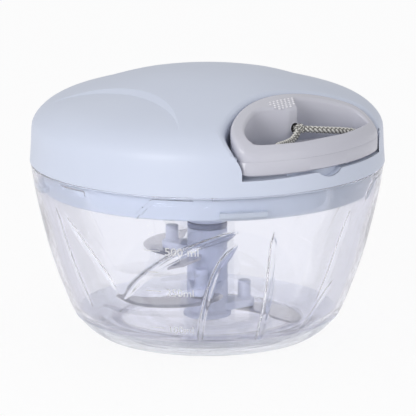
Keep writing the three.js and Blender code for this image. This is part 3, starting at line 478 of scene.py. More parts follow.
def tube(path, radius, sides):
    """Closed round tube along a path."""
    first, second = frames(path)
    across, up = circle(radius, sides).T[:, None, :, None]
    around = first[:, None] * across + second[:, None] * up
    return (path[:, None] + around).reshape(-1, 3), capped_grid(len(path), sides)


def along_path(points, spacing):
    """A smooth path through points, at an even spacing."""
    dense = spline(points, 40)
    run = run_along(dense)
    count = max(4, int(run[-1] / spacing))
    return np.column_stack([np.interp(np.linspace(0, run[-1], count + 1), run, axis) for axis in dense.T])


def braided(points, radius, carriers=4, pitch=6.2 * mm, spacing=0.4 * mm):
    """Braided cord along points: two sets of yarns that cross over and under each other round a core."""
    path = along_path(points, spacing)
    phase = run_along(path) / pitch * turn
    first, second = frames(path)
    yarn_radius = 0.27 * radius
    # The core takes the grey yarn, so the gaps between the yarns are darkened with painted shade.
    parts = [tube(path, 0.66 * radius, 10)]
    picks = [1] * len(parts[0][1])
    for way in (1, -1):
        for carrier in range(carriers):
            angle = turn * carrier / carriers + way * phase
            reach = radius - yarn_radius - 0.07 * radius * (1 - way * np.cos(carriers * phase))
            aside = first * np.cos(angle)[:, None] + second * np.sin(angle)[:, None]
            part = tube(path + aside * reach[:, None], yarn_radius, 5)
            parts.append(part)
            picks += [0 if way > 0 else 1] * len(part[1])
    places, faces = gathered(*parts)
    return places, faces, picks


def spline(points, per_span):
    """Smooth curve through points, by Catmull-Rom."""
    points = np.asarray(points, float)
    before = 2 * points[0] - points[1]
    behind = 2 * points[-1] - points[-2]
    points = np.vstack([before, points, behind])
    out = []
    for a, b, c, d in zip(points, points[1:], points[2:], points[3:]):
        for t in np.arange(per_span) / per_span:
            cube = 3 * b - a - 3 * c + d
            out.append(0.5 * (2 * b + (c - a) * t + (2 * a - 5 * b + 4 * c - d) * t**2 + cube * t**3))
    return np.array(out + [points[-2]])


def inside(point_sets, polygon):
    """Which of the places lie in a polygon in the plane."""
    x, y = point_sets[:, 0], point_sets[:, 1]
    found = np.zeros(len(x), bool)
    count = len(polygon)
    for i in range(count):
        x0, y0 = polygon[i]
        x1, y1 = polygon[(i + 1) % count]
        if y0 == y1:
            continue
        crosses = (y0 > y) != (y1 > y)
        at = x0 + (y - y0) * (x1 - x0) / (y1 - y0)
        found ^= crosses & (x < at)
    return found


def distance_to(points, line):
    """Shortest distance from each place to a line of places in the plane."""
    best = np.full(len(points), np.inf)
    for a, b in zip(line[:-1], line[1:]):
        run = b - a
        length = max(run @ run, 1e-18)
        share = np.clip(((points - a) @ run) / length, 0, 1)
        gap = np.linalg.norm(points - a - share[:, None] * run, axis=1)
        best = np.minimum(best, gap)
    return best


def patch(outer, holes, creases, fill, spacing, to_space):
    """Triangles over a plane outline with holes and creases, as places and faces in space."""
    lines = [(outer, True)] + [(hole, True) for hole in holes] + [(crease, False) for crease in creases]
    fill = np.asarray(fill, float)
    keep = inside(fill, outer)
    for line, closed in lines:
        whole = np.vstack([line, line[:1]]) if closed else line
        keep &= distance_to(fill, whole) > 0.45 * spacing
    for hole in holes:
        keep &= ~inside(fill, hole)
    points = []
    edges = []
    for line, closed in lines:
        start = len(points)
        points.extend(line.tolist())
        edges.extend((start + i, start + i + 1) for i in range(len(line) - 1))
        if closed:
            edges.append((start + len(line) - 1, start))
    points.extend(fill[keep].tolist())
    made = delaunay_2d_cdt([Vector(point) for point in points], edges, [], 0, 1e-9)
    flat = np.array([list(place) for place in made[0]])
    faces = np.array(made[2])
    middles = flat[faces].mean(axis=1)
    good = inside(middles, outer)
    for hole in holes:
        good &= ~inside(middles, hole)
    return to_space(flat), faces[good].tolist()


def gathered(*parts):
    """Several lots of places and faces as one."""
    faces = []
    shift = 0
    for more_places, more_faces in parts:
        faces.extend(tuple(shift + i for i in face) for face in more_faces)
        shift += len(more_places)
    return np.vstack([np.asarray(part[0], float) for part in parts]), faces


# Lid

dome_shares = [
    (0, 1), (0.2, 0.993), (0.37, 0.989), (0.44, 0.981), (0.5, 0.963), (0.56, 0.934), (0.62, 0.895),
    (0.688, 0.83), (0.754, 0.74), (0.819, 0.635), (0.873, 0.525), (0.921, 0.41), (0.962, 0.28),
    (0.985, 0.15), (0.991, 0),
]
dome_points = [(lid_radius * out, seam_height + (lid_height - seam_height) * up) for up, out in dome_shares]
mirrored = [(-dome_points[-2][0], dome_points[-2][1])]
dome_line = spline(dome_points + mirrored, 8)[: 8 * (len(dome_points) - 1) + 1][::-1]
dome_line[0, 0] = 0
dome_length = run_along(dome_line)

scoop_depth = 1.2 * mm
scoop_slope = 0.42
scoop_radius = arch_radius + 1.9 * mm
scoop_fade = (0.45 * lid_radius, 0.93 * lid_radius)
scoop_centres = [(arch_centre * math.cos(a), arch_centre * math.sin(a)) for a in (0, math.pi / 2, math.pi)]
recess_flare = 2.6 * mm
recess_hug = 0.35 * mm
recess_front = wall_radius - 0.4 * mm
outline_power = 16
tub_under = 64.9 * mm
tub_reach = 66 * mm


def dome_height(radius):
    return np.interp(radius, dome_line[:, 0], dome_line[:, 1])


def scoop_drop(x, y):
    """How far the scoops let the dome down at places in plan."""
    deepest = scoop_depth * (1 - smoothstep(np.hypot(x, y), *scoop_fade))
    drop = np.zeros_like(x)
    for cx, cy in scoop_centres:
        within = scoop_radius - np.hypot(x - cx, y - cy)
        drop = np.maximum(drop, np.minimum(np.maximum(within, 0) * scoop_slope, deepest))
    return drop


def unroll(x, y):
    """Plan place on the dome, as a place in the plane at its distance along the dome from the top."""
    radius = np.hypot(x, y)
    reach = np.interp(radius, dome_line[:, 0], dome_length)
    scale = reach / np.maximum(radius, 1e-9)
    return np.stack([x * scale, y * scale], axis=-1)


def roll(flat):
    """Place in space on the lid for a place in the unrolled plane."""
    reach = np.hypot(flat[:, 0], flat[:, 1])
    radius = np.interp(reach, dome_length, dome_line[:, 0])
    height = np.interp(reach, dome_length, dome_line[:, 1])
    scale = radius / np.maximum(reach, 1e-9)
    x = flat[:, 0] * scale
    y = flat[:, 1] * scale
    return np.stack([x, y, height - scoop_drop(x, y)], axis=-1)


def wall_place(angle, height):
    """Unrolled place on the lid's wall at an angle and a height."""
    reach = np.interp(-height, -dome_line[:, 1], dome_length)
    return (reach * math.cos(angle), reach * math.sin(angle))


def disc_reach(centre_y, radius, way_y):
    """Distance from the handle's centre to the far side of a disc centred on Y, along a way."""
    off = centre_y + handle_centre
    return off * way_y + math.sqrt((off * way_y) ** 2 - off**2 + radius**2)


def soft_least(first, second, power):
    """Nearly the smaller of two distances, with a soft change from one to the other."""
    return (first**-power + second**-power) ** (-1 / power)


def arch_reach(way_x, way_y, grow):
    """Distance from the handle's centre to the arch outline, grown by a margin."""
    side = (recess_half_width + grow) / max(abs(way_x), 1e-6)
    return soft_least(disc_reach(-arch_centre, arch_radius + grow, way_y), side, outline_power)


def arch_place(angle, grow, front):
    """Plan place on the arch outline, cut off at a radius from the lid's axis."""
    way_x = math.cos(angle)
    way_y = math.sin(angle)
    reach = min(arch_reach(way_x, way_y, grow), disc_reach(0, front, way_y))
    return (reach * way_x, reach * way_y - handle_centre)


def corner_angle(grow, front):
    half = recess_half_width + grow
    return math.atan2(handle_centre - math.sqrt(front**2 - half**2), half)


def recess_growth(level, flare):
    """How far the recess's side stands off the handle's outline at a height."""
    opened = float(smoothstep(level, 69.5 * mm, 84 * mm))
    widened = float(smoothstep(level, 69.5 * mm, 78 * mm) * (1 - smoothstep(level, 83 * mm, 88 * mm)))
    return -recess_hug + (recess_hug + flare) * opened + 1.3 * mm * widened


def recess_back(flare, front=recess_front, count=240):
    """Plan places along the recess's sides and arch, from right front to left front.

    The edge hugs the handle low on the lid's wall and opens out towards the dome.
    """
    start = corner_angle(recess_growth(dome_height(front), flare), front)
    places = []
    for i in range(count + 1):
        angle = start + (math.pi - 2 * start) * i / count
        level = dome_height(math.hypot(*arch_place(angle, 0, front)))
        places.append(arch_place(angle, recess_growth(level, flare), front))
    return np.array(places)


def floor_level(x):
    """Height of the recess's floor, which falls towards its left end."""
    return recess_floor - 0.35 * mm - 0.7 * mm * float(smoothstep(-x, 2 * mm, 30 * mm))


def notch_edge(x):
    """Height of the recess floor's front edge, with the thumb notch."""
    radius = 8 * mm
    dip = math.sqrt(max(radius**2 - x * x, 0)) - radius + 2.2 * mm
    return floor_level(x) - max(dip, 0)


def slanted_side(side, top, count=12):
    """Places down the recess's slanted edge on the lid's wall, on the right (1) or left (-1) side."""
    places = []
    for level in np.linspace(top, notch_edge(side * recess_half_width), count)[1:]:
        x = side * (recess_half_width + recess_growth(level, recess_flare))
        places.append((x, -math.sqrt(wall_radius**2 - x * x), level))
    return places


recess_inner = recess_back(0)
recess_edge = unroll(*recess_back(recess_flare).T)
recess_lip = roll(recess_edge)
flare_width = np.linalg.norm(recess_lip[:, :2] - recess_inner, axis=1)
left_side = slanted_side(-1, recess_lip[-1][2])
right_side = slanted_side(1, recess_lip[0][2])


def scoop_creases():
    """Upper and lower edge of each scoop's slope, unrolled."""
    creases = []
    for cx, cy in scoop_centres:
        middle = math.atan2(cy, cx)
        upper = []
        lower = []
        for angle in np.linspace(-1.06, 1.06, 110):
            way_x = math.cos(middle + math.pi + angle)
            way_y = math.sin(middle + math.pi + angle)
            inner = scoop_radius
            for _ in range(3):
                reach = math.hypot(cx + inner * way_x, cy + inner * way_y)
                width = scoop_depth * (1 - float(smoothstep(reach, *scoop_fade))) / scoop_slope
                inner = scoop_radius - width
            if width < 0.12 * mm:
                continue
            upper.append((cx + scoop_radius * way_x, cy + scoop_radius * way_y))
            lower.append((cx + inner * way_x, cy + inner * way_y))
        creases.extend(unroll(*np.array(line).T) for line in (upper, lower))
    return creases


def dome_skin():
    """The dome and the lid's wall, with the recess cut out."""
    left = [wall_place(math.atan2(y, x), level) for x, y, level in left_side]
    right = [wall_place(math.atan2(y, x), level) for x, y, level in right_side[::-1]]
    across = np.linspace(left_side[-1][0], right_side[-1][0], 61)[1:-1]
    front = [wall_place(-math.acos(x / wall_radius), notch_edge(x)) for x in across]
    hole = np.vstack([recess_edge, left, front, right])
    fill = []
    spacing = 1.5 * mm
    for reach in np.arange(0.4 * spacing, dome_length[-1] - 0.3 * spacing, spacing):
        count = min(240, max(6, int(turn * reach / (1.3 * spacing))))
        fill.extend(arc(reach, np.arange(count) * turn / count + reach))
    return patch(circle(dome_length[-1], 240), [hole], scoop_creases(), fill, spacing, roll)


def flare_strip():
    """Rounded edge between the dome and the recess's wall."""
    rows = []
    for part in np.linspace(0, math.pi / 2, 7):
        plan = recess_inner + (recess_lip[:, :2] - recess_inner) * (1 - math.sin(part))
        rows.append(np.column_stack([plan, recess_lip[:, 2] - flare_width * (1 - math.cos(part))]))
    return np.vstack(rows), grid_faces(len(rows), len(recess_inner), closed=False)


def side_return(side, corner):
    """Strip from the slanted edge on the lid's wall back to the front of the recess's wall."""
    behind = [(*corner, level) for _, _, level in side]
    return np.array(side + behind), grid_faces(2, len(behind), closed=False)


def recess_wall():
    run = run_along(recess_inner)
    foot = [floor_level(x) for x in recess_inner[:, 0]]
    top = recess_lip[:, 2] - flare_width
    outline = np.vstack([np.column_stack([run, foot]), np.column_stack([run, top])[::-1]])
    cord_hole = circle(3.05 * mm, 28, (run[-1] / 2, cord_level))
    levels = np.arange(recess_floor + 2 * mm, lid_height, 2 * mm)
    fill = [(along, level) for along in run[1:-1:2] for level in levels]

    def to_space(flat):
        x, y = (np.interp(flat[:, 0], run, axis) for axis in recess_inner.T)
        return np.stack([x, y, flat[:, 1]], axis=-1)

    return patch(outline, [cord_hole], [], fill, 0.8 * mm, to_space)


def recess_floor_part():
    across = np.linspace(recess_inner[-1][0], recess_inner[0][0], 61)[1:-1]
    front = np.column_stack([across, -np.sqrt(wall_radius**2 - across**2)])
    outline = np.vstack([recess_inner, front])
    fill = [(x, y) for x in np.arange(-32, 32, 1.5) * mm for y in np.arange(-61, -33, 1.5) * mm]

    def to_space(flat):
        near_edge = smoothstep(-flat[:, 1], 52 * mm, 54 * mm)
        level = np.array([floor_level(x) for x in flat[:, 0]])
        dip = level - np.array([notch_edge(x) for x in flat[:, 0]])
        return np.column_stack([flat, level - dip * near_edge])

    return patch(outline, [], [], fill, 1.5 * mm, to_space)


def lid_underside():
    """Rolled edge at the seam and the shell's inner face, which passes under the recess."""
    edge = 0.35 * mm
    edge_low = seam_height - 0.05 * mm
    bottom = [
        (lid_radius, seam_height),
        (lid_radius - edge / 2, edge_low),
        (lid_radius - 2 * edge, edge_low),
        (lid_radius - lid_wall, seam_height),
    ]
    inner = [(max(r - lid_wall, 0), z - lid_wall - scoop_depth) for r, z in dome_line[::-2][3:]]
    places, faces = turned(bottom + inner, 240)
    under_tub = inside(places[:, :2], recess_back(recess_flare, tub_reach))
    places[:, 2] = np.where(under_tub, np.minimum(places[:, 2], tub_under), places[:, 2])
    return places, faces


lid_parts = gathered(
    dome_skin(),
    flare_strip(),
    side_return(left_side, recess_inner[-1]),
    side_return(right_side, recess_inner[0]),
    recess_wall(),
    recess_floor_part(),
    lid_underside(),
)
piece("lid_dome", *lid_parts, lid_finish, "lid", "lid_plastic", ["lid_shell"], sharp=13)


# Lid base: plate, hub collar and the skirt that plugs the bowl

lug_angle = 35.5
lug_stagger = 24
lug_sweep = 16


def skirt_lug(middle):
    """Bayonet lug on the skirt."""
    inner = 57 * mm
    outer = 60.1 * mm
    angles = np.radians(np.linspace(middle - lug_sweep / 2, middle + lug_sweep / 2, 17))
    return slab(np.vstack([arc(outer, angles), arc(inner, angles[::-1])]), 53.95 * mm, 55.95 * mm, 0.25 * mm)


def skirt_shell():
    """Plate, hub collar and skirt in one turned shell, with the groove that the seal sits in."""
    hub_low = plate_under - hub_drop
    hub_outer = hub_bore + hub_wall
    skirt_inner = skirt_radius - skirt_wall
    groove_inner = 57.33 * mm
    groove_low = 60.1 * mm
    groove_top = plate_under + seat_gap
    plate_radius = 59.9 * mm
    outline = [
        (hub_bore, hub_low), (hub_outer, hub_low), (hub_outer, plate_under), (skirt_inner, plate_under),
        (skirt_inner, skirt_bottom), (skirt_radius, skirt_bottom), (skirt_radius, groove_low, 0),
        (groove_inner, groove_low, 0), (groove_inner, groove_top, 0), (plate_radius, groove_top, 0),
        (plate_radius, plate_top), (hub_bore, plate_top),
    ]
    return ring(outline, 0.6 * mm)


lugs = [skirt_lug(lug_angle + lug_stagger + 90 * i) for i in range(4)]
skirt_parts = gathered(skirt_shell(), *lugs)
piece("lid_skirt", *skirt_parts, skirt_finish, "lid", "lid_plastic", ["lid_base"], sharp=40)

seal_outline = in_mm(
    [(57.65, 60.7), (60.1, 60.7), (60.45, 61), (60.1, 61.2), (60.45, 61.45), (60.1, 61.6), (57.65, 61.6)]
)
seal_ring = ring(seal_outline, 0.12 * mm, 240, 2)
piece("seal_ring", *seal_ring, seal_finish, "seal", "seal_silicone", ["lid_seal"], sharp=50)


# Bowl

bowl_shares = [(0, 0), (0.09, 0.146), (0.26, 0.377), (0.43, 0.576), (0.66, 0.781), (0.83, 0.907), (1, 1)]
bowl_low = base_top + seat_gap
bowl_spread = bowl_rim_radius - bowl_shoulder_radius
bowl_rise = bowl_rim - bowl_low
bowl_start = np.array([bowl_shoulder_radius, bowl_low])
bowl_line = spline([bowl_start + (bowl_spread * out, bowl_rise * up) for up, out in bowl_shares], 10)

# Each rib's half width and height in mm, and its line as degrees round from rib_start and share of the depth
rib_start = -174.5
ribs = [
    (1.3, 0.95, [(8.8, 0.315), (15.5, 0.43), (26.5, 0.575), (39, 0.69), (52, 0.775)]),
    (1.1, 0.85, [(38.5, 0.01), (40, 0.2), (43, 0.41), (46.5, 0.57), (52, 0.69)]),
    (1.4, 1.2, [(65, 0.01), (65.5, 0.3), (65.3, 0.55), (65, 0.755)]),
    (1.2, 1, [(90.5, 0.27), (92.5, 0.38), (95, 0.6), (97.5, 0.8)]),
    (0.8, 0.7, [(86, 0.06), (91, 0.2), (97, 0.36)]),
    (0.9, 0.75, [(-12, 0.2), (-14.5, 0.38), (-17.5, 0.6), (-19, 0.8)]),
    (1.3, 0.95, [(5.2, 0.375), (-3, 0.56), (-12.5, 0.76)]),
]


def bowl_radius(height):
    return np.interp(height, bowl_line[:, 1], bowl_line[:, 0])


def bowl_inner(height):
    wall = bowl_wall + (bowl_rim_wall - bowl_wall) * smoothstep(height, seam_height / 2, skirt_bottom)
    return bowl_radius(height) - wall


def rib_rise(angles, heights, radius):
    """How far the ribs stand in from the bowl's inner wall, on a grid of angles and heights."""
    rise = np.zeros((len(heights), len(angles)))
    depth = bowl_rim - bowl_floor_top
    usual_radius = 55 * mm
    for spin in (0, 180):
        for half_width, height, table in ribs:
            line = spline(table, 10)
            way = np.radians(rib_start + spin + line[:, 0])
            level = bowl_floor_top + depth * line[:, 1]
            gone = run_along(np.column_stack([way * usual_radius, level]))
            for k in range(len(line) - 1):
                rows = np.abs(heights - level[k : k + 2].mean()) < 4 * mm
                off = (angles - way[k] + math.pi) % turn - math.pi
                columns = np.abs(off) < 0.16
                here = radius[rows][:, None]
                across = off[columns][None, :] * here
                up = np.broadcast_to((heights[rows] - level[k])[:, None], across.shape)
                run_x = (way[k + 1] - way[k]) * here
                run_up = level[k + 1] - level[k]
                share = np.clip((across * run_x + up * run_up) / (run_x**2 + run_up**2), 0, 1)
                gap = np.hypot(across - share * run_x, up - share * run_up)
                along = gone[k] + share * (gone[k + 1] - gone[k])
                near_end = np.minimum(along, gone[-1] - along)
                half = half_width * mm * (0.3 + 0.7 * smoothstep(near_end, 0, 5 * mm))
                high = height * mm * (0.4 + 0.6 * smoothstep(near_end, 0, 4 * mm))
                block = np.ix_(rows, columns)
                rise[block] = np.maximum(rise[block], high * np.clip(1 - (gap / half) ** 2, 0, 1) ** 0.85)
    return rise


def degrees_off(angles, middle):
    """Signed degrees from a middle angle, as one row."""
    return np.degrees((angles - math.radians(middle) + math.pi) % turn - math.pi)[None, :]


def lug_rise(angles, heights):
    """Bayonet lugs with their lead-in ramps, stop tabs and catches, high on the inner wall."""
    rise = np.zeros((len(heights), len(angles)))
    level = heights[:, None]
    for quarter in range(4):
        off = degrees_off(angles, lug_angle + 90 * quarter)
        top = np.interp(off, [-12, -6], [54.6, 60.4]) * mm
        bar = (off > -12) & (off < 7.5) & (level < top) & (level > top - 1.9 * mm)
        catch_line = np.interp(off, [10.5, 14.8], [57.9, 61.2]) * mm
        catch = (off > 10.5) & (off < 14.8) & (np.abs(level - catch_line) < 0.5 * mm)
        rise = np.where(bar, 0.7 * mm, np.where(catch, 0.45 * mm, rise))
    for half in range(2):
        off = degrees_off(angles, 177.8 + 180 * half)
        tab = (np.abs(off) < 6) & (np.abs(level - 59 * mm) < 1.05 * mm)
        rise = np.where(tab, 0.5 * mm, rise)
    return rise


def bowl_shell():
    """Outer face, rim and inner face in one skin, with ribs and lugs raised on the inner face."""
    steps = 900
    angles = np.arange(steps) * turn / steps
    foot_corners = [(30 * mm, bowl_floor_under), (36.2 * mm, bowl_floor_under)]
    foot_corners += in_mm([(38.9, 3.4), (43.2, 5.5), (44.6, 6.3), (46.5, 7.6)])
    foot = rounded(foot_corners + [tuple(bowl_line[3])], 1.6 * mm, 6, closed=False)
    rim_mid = bowl_rim_radius - bowl_rim_wall / 2
    rim_drop = 0.3 * mm
    rim = [
        (rim_mid + bowl_rim_wall / 2 * math.cos(a), bowl_rim - rim_drop + rim_drop * math.sin(a))
        for a in np.linspace(0, math.pi, 7)
    ]
    outer = [(0, bowl_floor_under), (34 * mm, bowl_floor_under), *foot, *bowl_line[4:-1], *rim]
    outer_places, _ = turned(outer, steps)
    heights = np.arange(bowl_rim - 0.7 * mm, 12 * mm, -0.45 * mm)
    radius = bowl_inner(heights)
    wall_foot = np.array([radius[-1], heights[-1]])
    corner, floor_edge = np.array(in_mm([(44, 5), (36, 4.95)]))
    bend = bent(wall_foot, corner, floor_edge, np.linspace(0, 1, 32)[1:, None])
    radius = np.append(radius, bend[:, 0])
    heights = np.append(heights, bend[:, 1])
    rise = np.maximum(rib_rise(angles, heights, radius), lug_rise(angles, heights))
    slope = np.gradient(radius, heights)
    tilt = 1 / np.sqrt(1 + slope**2)
    around = radius[:, None] - rise * tilt[:, None]
    level = heights[:, None] + rise * (slope * tilt)[:, None]
    wall_places = np.stack([around * np.cos(angles), around * np.sin(angles), level], axis=-1).reshape(-1, 3)
    floor_corners = [tuple(floor_edge)]
    floor_corners += in_mm([(34.2, 4.9), (33.7, 4.65), (32.1, 4.65), (31.6, 4.35), (30.4, 4.35)])
    floor_corners += [(30 * mm, bowl_floor_top), (5.2 * mm, bowl_floor_top)]
    floor_corners += in_mm([(4.2, 5.5), (4.2, 7), (0, 7)])
    floor_line = rounded(floor_corners, 0.5 * mm, closed=False)
    floor_places, _ = turned(floor_line[1:], steps)
    places = np.vstack([outer_places, wall_places, floor_places])
    return places, grid_faces(len(places) // steps, steps)


piece("bowl_shell", *bowl_shell(), clear_finish, "bowl", "clear_plastic", ["bowl"], sharp=62)

base_corners = [(base_foot_inner, 0), (base_foot_radius, 0)]
base_corners += in_mm([(41.2, 1.7), (43.5, 3.6), (47, 7.4), (46.6, 7.3), (44.7, 5.9)])
base_corners += in_mm([(43.4, 5.1), (38.9, 2.9), (34.7, 1.9), (31, 1.9)])
base_ring = ring(base_corners, 1.2 * mm)
piece("base_ring", *base_ring, base_finish, "bowl", "base_silicone", ["anti_slip_base"], sharp=35)


# Graduations, raised on the bowl's outer face

mark_rise = 0.16 * mm
mark_width = 0.32 * mm


def on_bowl(flat, raise_by):
    """Places on the bowl for places given by degrees round and height."""
    radius = bowl_radius(flat[:, 1]) + raise_by
    angle = np.radians(flat[:, 0])
    return np.column_stack([radius * np.cos(angle), radius * np.sin(angle), flat[:, 1]])


def words_part(text, from_angle, to_angle, low, high):
    """Raised lettering that fills a range of degrees and heights."""
    curve = bpy.data.curves.new("lettering", "FONT")
    curve.body = text
    curve.extrude = 0.5
    curve.resolution_u = 4
    holder = bpy.data.objects.new("lettering", curve)
    bpy.context.scene.collection.objects.link(holder)
    bpy.context.view_layer.update()
    shape = bpy.data.meshes.new_from_object(holder.evaluated_get(bpy.context.evaluated_depsgraph_get()))
    places = np.array([list(vertex.co) for vertex in shape.vertices])
    faces = [tuple(face.vertices) for face in shape.polygons]
    bpy.data.objects.remove(holder)
    bpy.data.curves.remove(curve)
    bpy.data.meshes.remove(shape)
    lowest = places.min(axis=0)
    share = (places - lowest) / (places.max(axis=0) - lowest)
    start = np.array([from_angle, low])
    flat = start + (np.array([to_angle, high]) - start) * share[:, :2]
    return on_bowl(flat, mark_rise * (1.4 * share[:, 2] - 0.4)), faces


def tick_part(from_angle, to_angle, height):
    """Raised line at one height."""
    count = 13
    angles = np.linspace(from_angle, to_angle, count)
    rows = []
    for side, raise_by in ((-1, -0.4), (-0.7, 1), (0.7, 1), (1, -0.4)):
        flat = np.column_stack([angles, np.full(count, height + side * mark_width / 2)])
        rows.append(on_bowl(flat, mark_rise * raise_by))
    faces = grid_faces(4, count, closed=False)
    last_row = 3 * count
    faces.append(tuple(range(0, last_row + 1, count)))
    faces.append((count - 1, last_row + count - 1, last_row - 1, 2 * count - 1))
    faces.extend((i + 1, i, last_row + i, last_row + i + 1) for i in range(count - 1))
    return np.vstack(rows), faces


# Words and ticks, with their ends in degrees round and their heights in mm
words = (
    ("500 ml", -104.2, -92.9, 40.5, 43.4),
    ("250ml", -104.8, -94.9, 25.2, 28),
    ("100ml", -104.9, -95.5, 10.9, 13.4),
)
ticks = ((-111.5, -105.9, 42), (-110.9, -107.2, 34), (-112.6, -106.8, 26.8), (-112.7, -107.5, 12.5))
view_turn = 42.5
marks = gathered(
    *[words_part(word, a - view_turn, b - view_turn, low * mm, top * mm) for word, a, b, low, top in words],
    *[tick_part(a - view_turn, b - view_turn, height * mm) for a, b, height in ticks],
)
piece("bowl_marks", *marks, mark_finish, "bowl", "clear_plastic", sharp=30)


# Rotor

upper_arm_top = column_foot + 0.785 * (column_top - column_foot)
middle_arm_top = column_foot + 0.424 * (column_top - column_foot)
lower_arm_top = column_foot + 0.158 * (column_top - column_foot)
arm_rows = ((111.5, upper_arm_top), (-141.5, middle_arm_top), (-22.5, lower_arm_top))
arm_reach = 0.7 * blade_arc
arm_thickness = 2.9 * mm


def arm_part(angle, top):
    """Flat finger from the column with its upright peg."""
    tip = arc(3.6 * mm, np.linspace(-math.pi / 2, math.pi / 2, 25), (arm_reach, 0))
    finger = slab([(0, -7 * mm), *tip, (0, 7 * mm)], top - arm_thickness, top, 0.5 * mm)
    peg = turned(rounded(in_mm([(0, -1.4), (2.35, -1.4), (2.3, 6.2), (0, 6.2)]), 0.5 * mm, closed=False), 48)
    peg_foot = ring(in_mm([(2.2, -0.2), (3.1, -0.2), (2.3, 0.7), (2.2, 0.7)]), 0.2 * mm, 48)
    upright = moved(gathered(peg, peg_foot), 0, (arm_reach, 0, top))
    return moved(gathered(finger, upright), math.radians(angle))


def rotor_parts():
    shaft_outline = [
        (4.7 * mm, column_foot), (8.5 * mm, column_foot), (8.5 * mm, column_foot + 1.1 * mm),
        (column_radius, column_foot + 2.4 * mm), (column_radius - 0.36 * mm, column_top), (0, column_top, 0),
    ]
    shaft = turned(rounded(shaft_outline, 0.5 * mm, closed=False), 96)
    bore = turned([(4.7 * mm, column_foot)] + in_mm([(4.7, 7.5), (2.5, 7.5), (2.5, 15.5), (0, 15.5)]), 48)
    head_low = column_top - seat_gap
    head_top = column_top + 13 * mm
    core_outline = [(0, head_low), (2.7 * mm, head_low), (2.7 * mm, head_top), (0, head_top)]
    core = turned(rounded(core_outline, 0.5 * mm, closed=False), 48)
    dog = slab(in_mm([(0, -0.85), (4.6, -0.85), (4.6, 0.85), (0, 0.85)]), head_low, head_top, 0.25 * mm)
    dogs = [moved(dog, i * turn / 3) for i in range(3)]
    arms = [arm_part(*row) for row in arm_rows]
    return gathered(shaft, bore, core, *dogs, *arms)


piece("rotor_body", *rotor_parts(), rotor_finish, "rotor", "rotor_plastic", ["rotor_column"], sharp=35)
collar = ring(in_mm([(5.1, 37.3), (7.1, 37.3), (7.1, 39.2), (5.1, 39.2)]), 0.4 * mm, 96)
# The seat ring carries painted shade, dark for the shadow under the lid's hub.
piece("rotor_seat_ring", *collar, collar_shade_finish, "rotor", "rotor_plastic", ["rotor_collar"])


def blade_part(arm_top, tip_lift):
    """Crescent with a ground edge: sections from its back to its cutting edge, from tip to root."""
    count = 90
    thick = 0.9 * mm
    top = arm_top - arm_thickness - seat_gap
    along = np.linspace(0, 1, count)
    way = np.radians(-56 + 144 * along)
    centre = np.array([0.475 * blade_arc, -0.625 * blade_arc])
    edge = centre + blade_arc * np.column_stack([np.cos(way), np.sin(way)])
    shares = [(1.22, -1.38), (1.08, -0.98), (0.98, -0.6), (0.8, -0.28), (0.6, -0.06), (0.52, 0.12)]
    reach = 0.875 * blade_arc
    line = spline([(reach * x, blade_arc * y) for x, y in shares], 20)
    back = np.column_stack([np.interp(along, np.linspace(0, 1, len(line)), axis) for axis in line.T])
    across = edge - back
    width = np.linalg.norm(across, axis=1, keepdims=True)
    unit = across / width
    bevel = np.minimum(1.3 * mm, 0.5 * width)
    lift = tip_lift * (1 - smoothstep(along, 0, 0.3)) ** 1.5
    land = 0.16 * mm
    round_back = 0.2 * mm
    rows = [
        (back, top - thick + round_back), (back + unit * round_back, top - thick), (edge, top - thick),
        (edge, top - thick + land), (edge - unit * bevel, top), (back + unit * round_back, top),
        (back, top - round_back),
    ]
    places = np.stack([np.column_stack([plan, level + lift]) for plan, level in rows], axis=1).reshape(-1, 3)
    return places, capped_grid(count, len(rows))


blade_rows = (("upper", 0.8 * mm), ("middle", 1.3 * mm), ("lower", 0.3 * mm))
for (level, tip_lift), (angle, arm_top) in zip(blade_rows, arm_rows):
    shape = moved(blade_part(arm_top, tip_lift), math.radians(angle))
    piece(level + "_crescent", *shape, blade_finish, "rotor", "polished_steel", [level + "_blade"], sharp=12)


# Pull handle

handle_grow = -0.45 * handle_gap
opening_grow = handle_grow - handle_rim - 0.4 * mm
corner_power = 15
right_sharpness = 4
pad_rise = thumb_pad_bulge + 0.8 * mm
pad_left_flank = (4 * mm, 15.5 * mm)
pad_right_flank = (2.1 * mm, 6 * mm)


def handle_rows(count=260):
    """Outer and inner edge of the handle's ring in plan, evenly spaced round it."""
    outers = []
    inners = []
    centre = np.array([0, -handle_centre])
    for angle in np.linspace(-math.pi, math.pi, 2881)[:-1]:
        way = np.array([math.cos(angle), math.sin(angle)])
        power = corner_power * (right_sharpness if way[0] > 0 else 1)
        outer = soft_least(arch_reach(*way, handle_grow), disc_reach(0, wall_radius, way[1]), power)
        front = disc_reach(0, wall_radius - handle_front, way[1])
        inner = soft_least(arch_reach(*way, opening_grow), front, power)
        if way[1] > 0:
            flank = pad_right_flank if way[0] > 0 else pad_left_flank
            inner -= pad_rise * (1 - float(smoothstep(abs(inner * way[0]), *flank)))
        outers.append(centre + outer * way)
        inners.append(centre + inner * way)
    outers = np.array(outers)
    inners = np.array(inners)
    step = sum(np.hypot(*np.diff(edge, axis=0, append=edge[:1]).T) for edge in (outers, inners))
    run = np.concatenate([[0], np.cumsum(step)[:-1]])
    at = np.interp(np.arange(count) * (run[-1] + step[-1]) / count, run, np.arange(len(run)))
    pick = at.astype(int)
    return outers[pick], inners[pick]


handle_outer, handle_inner = handle_rows()


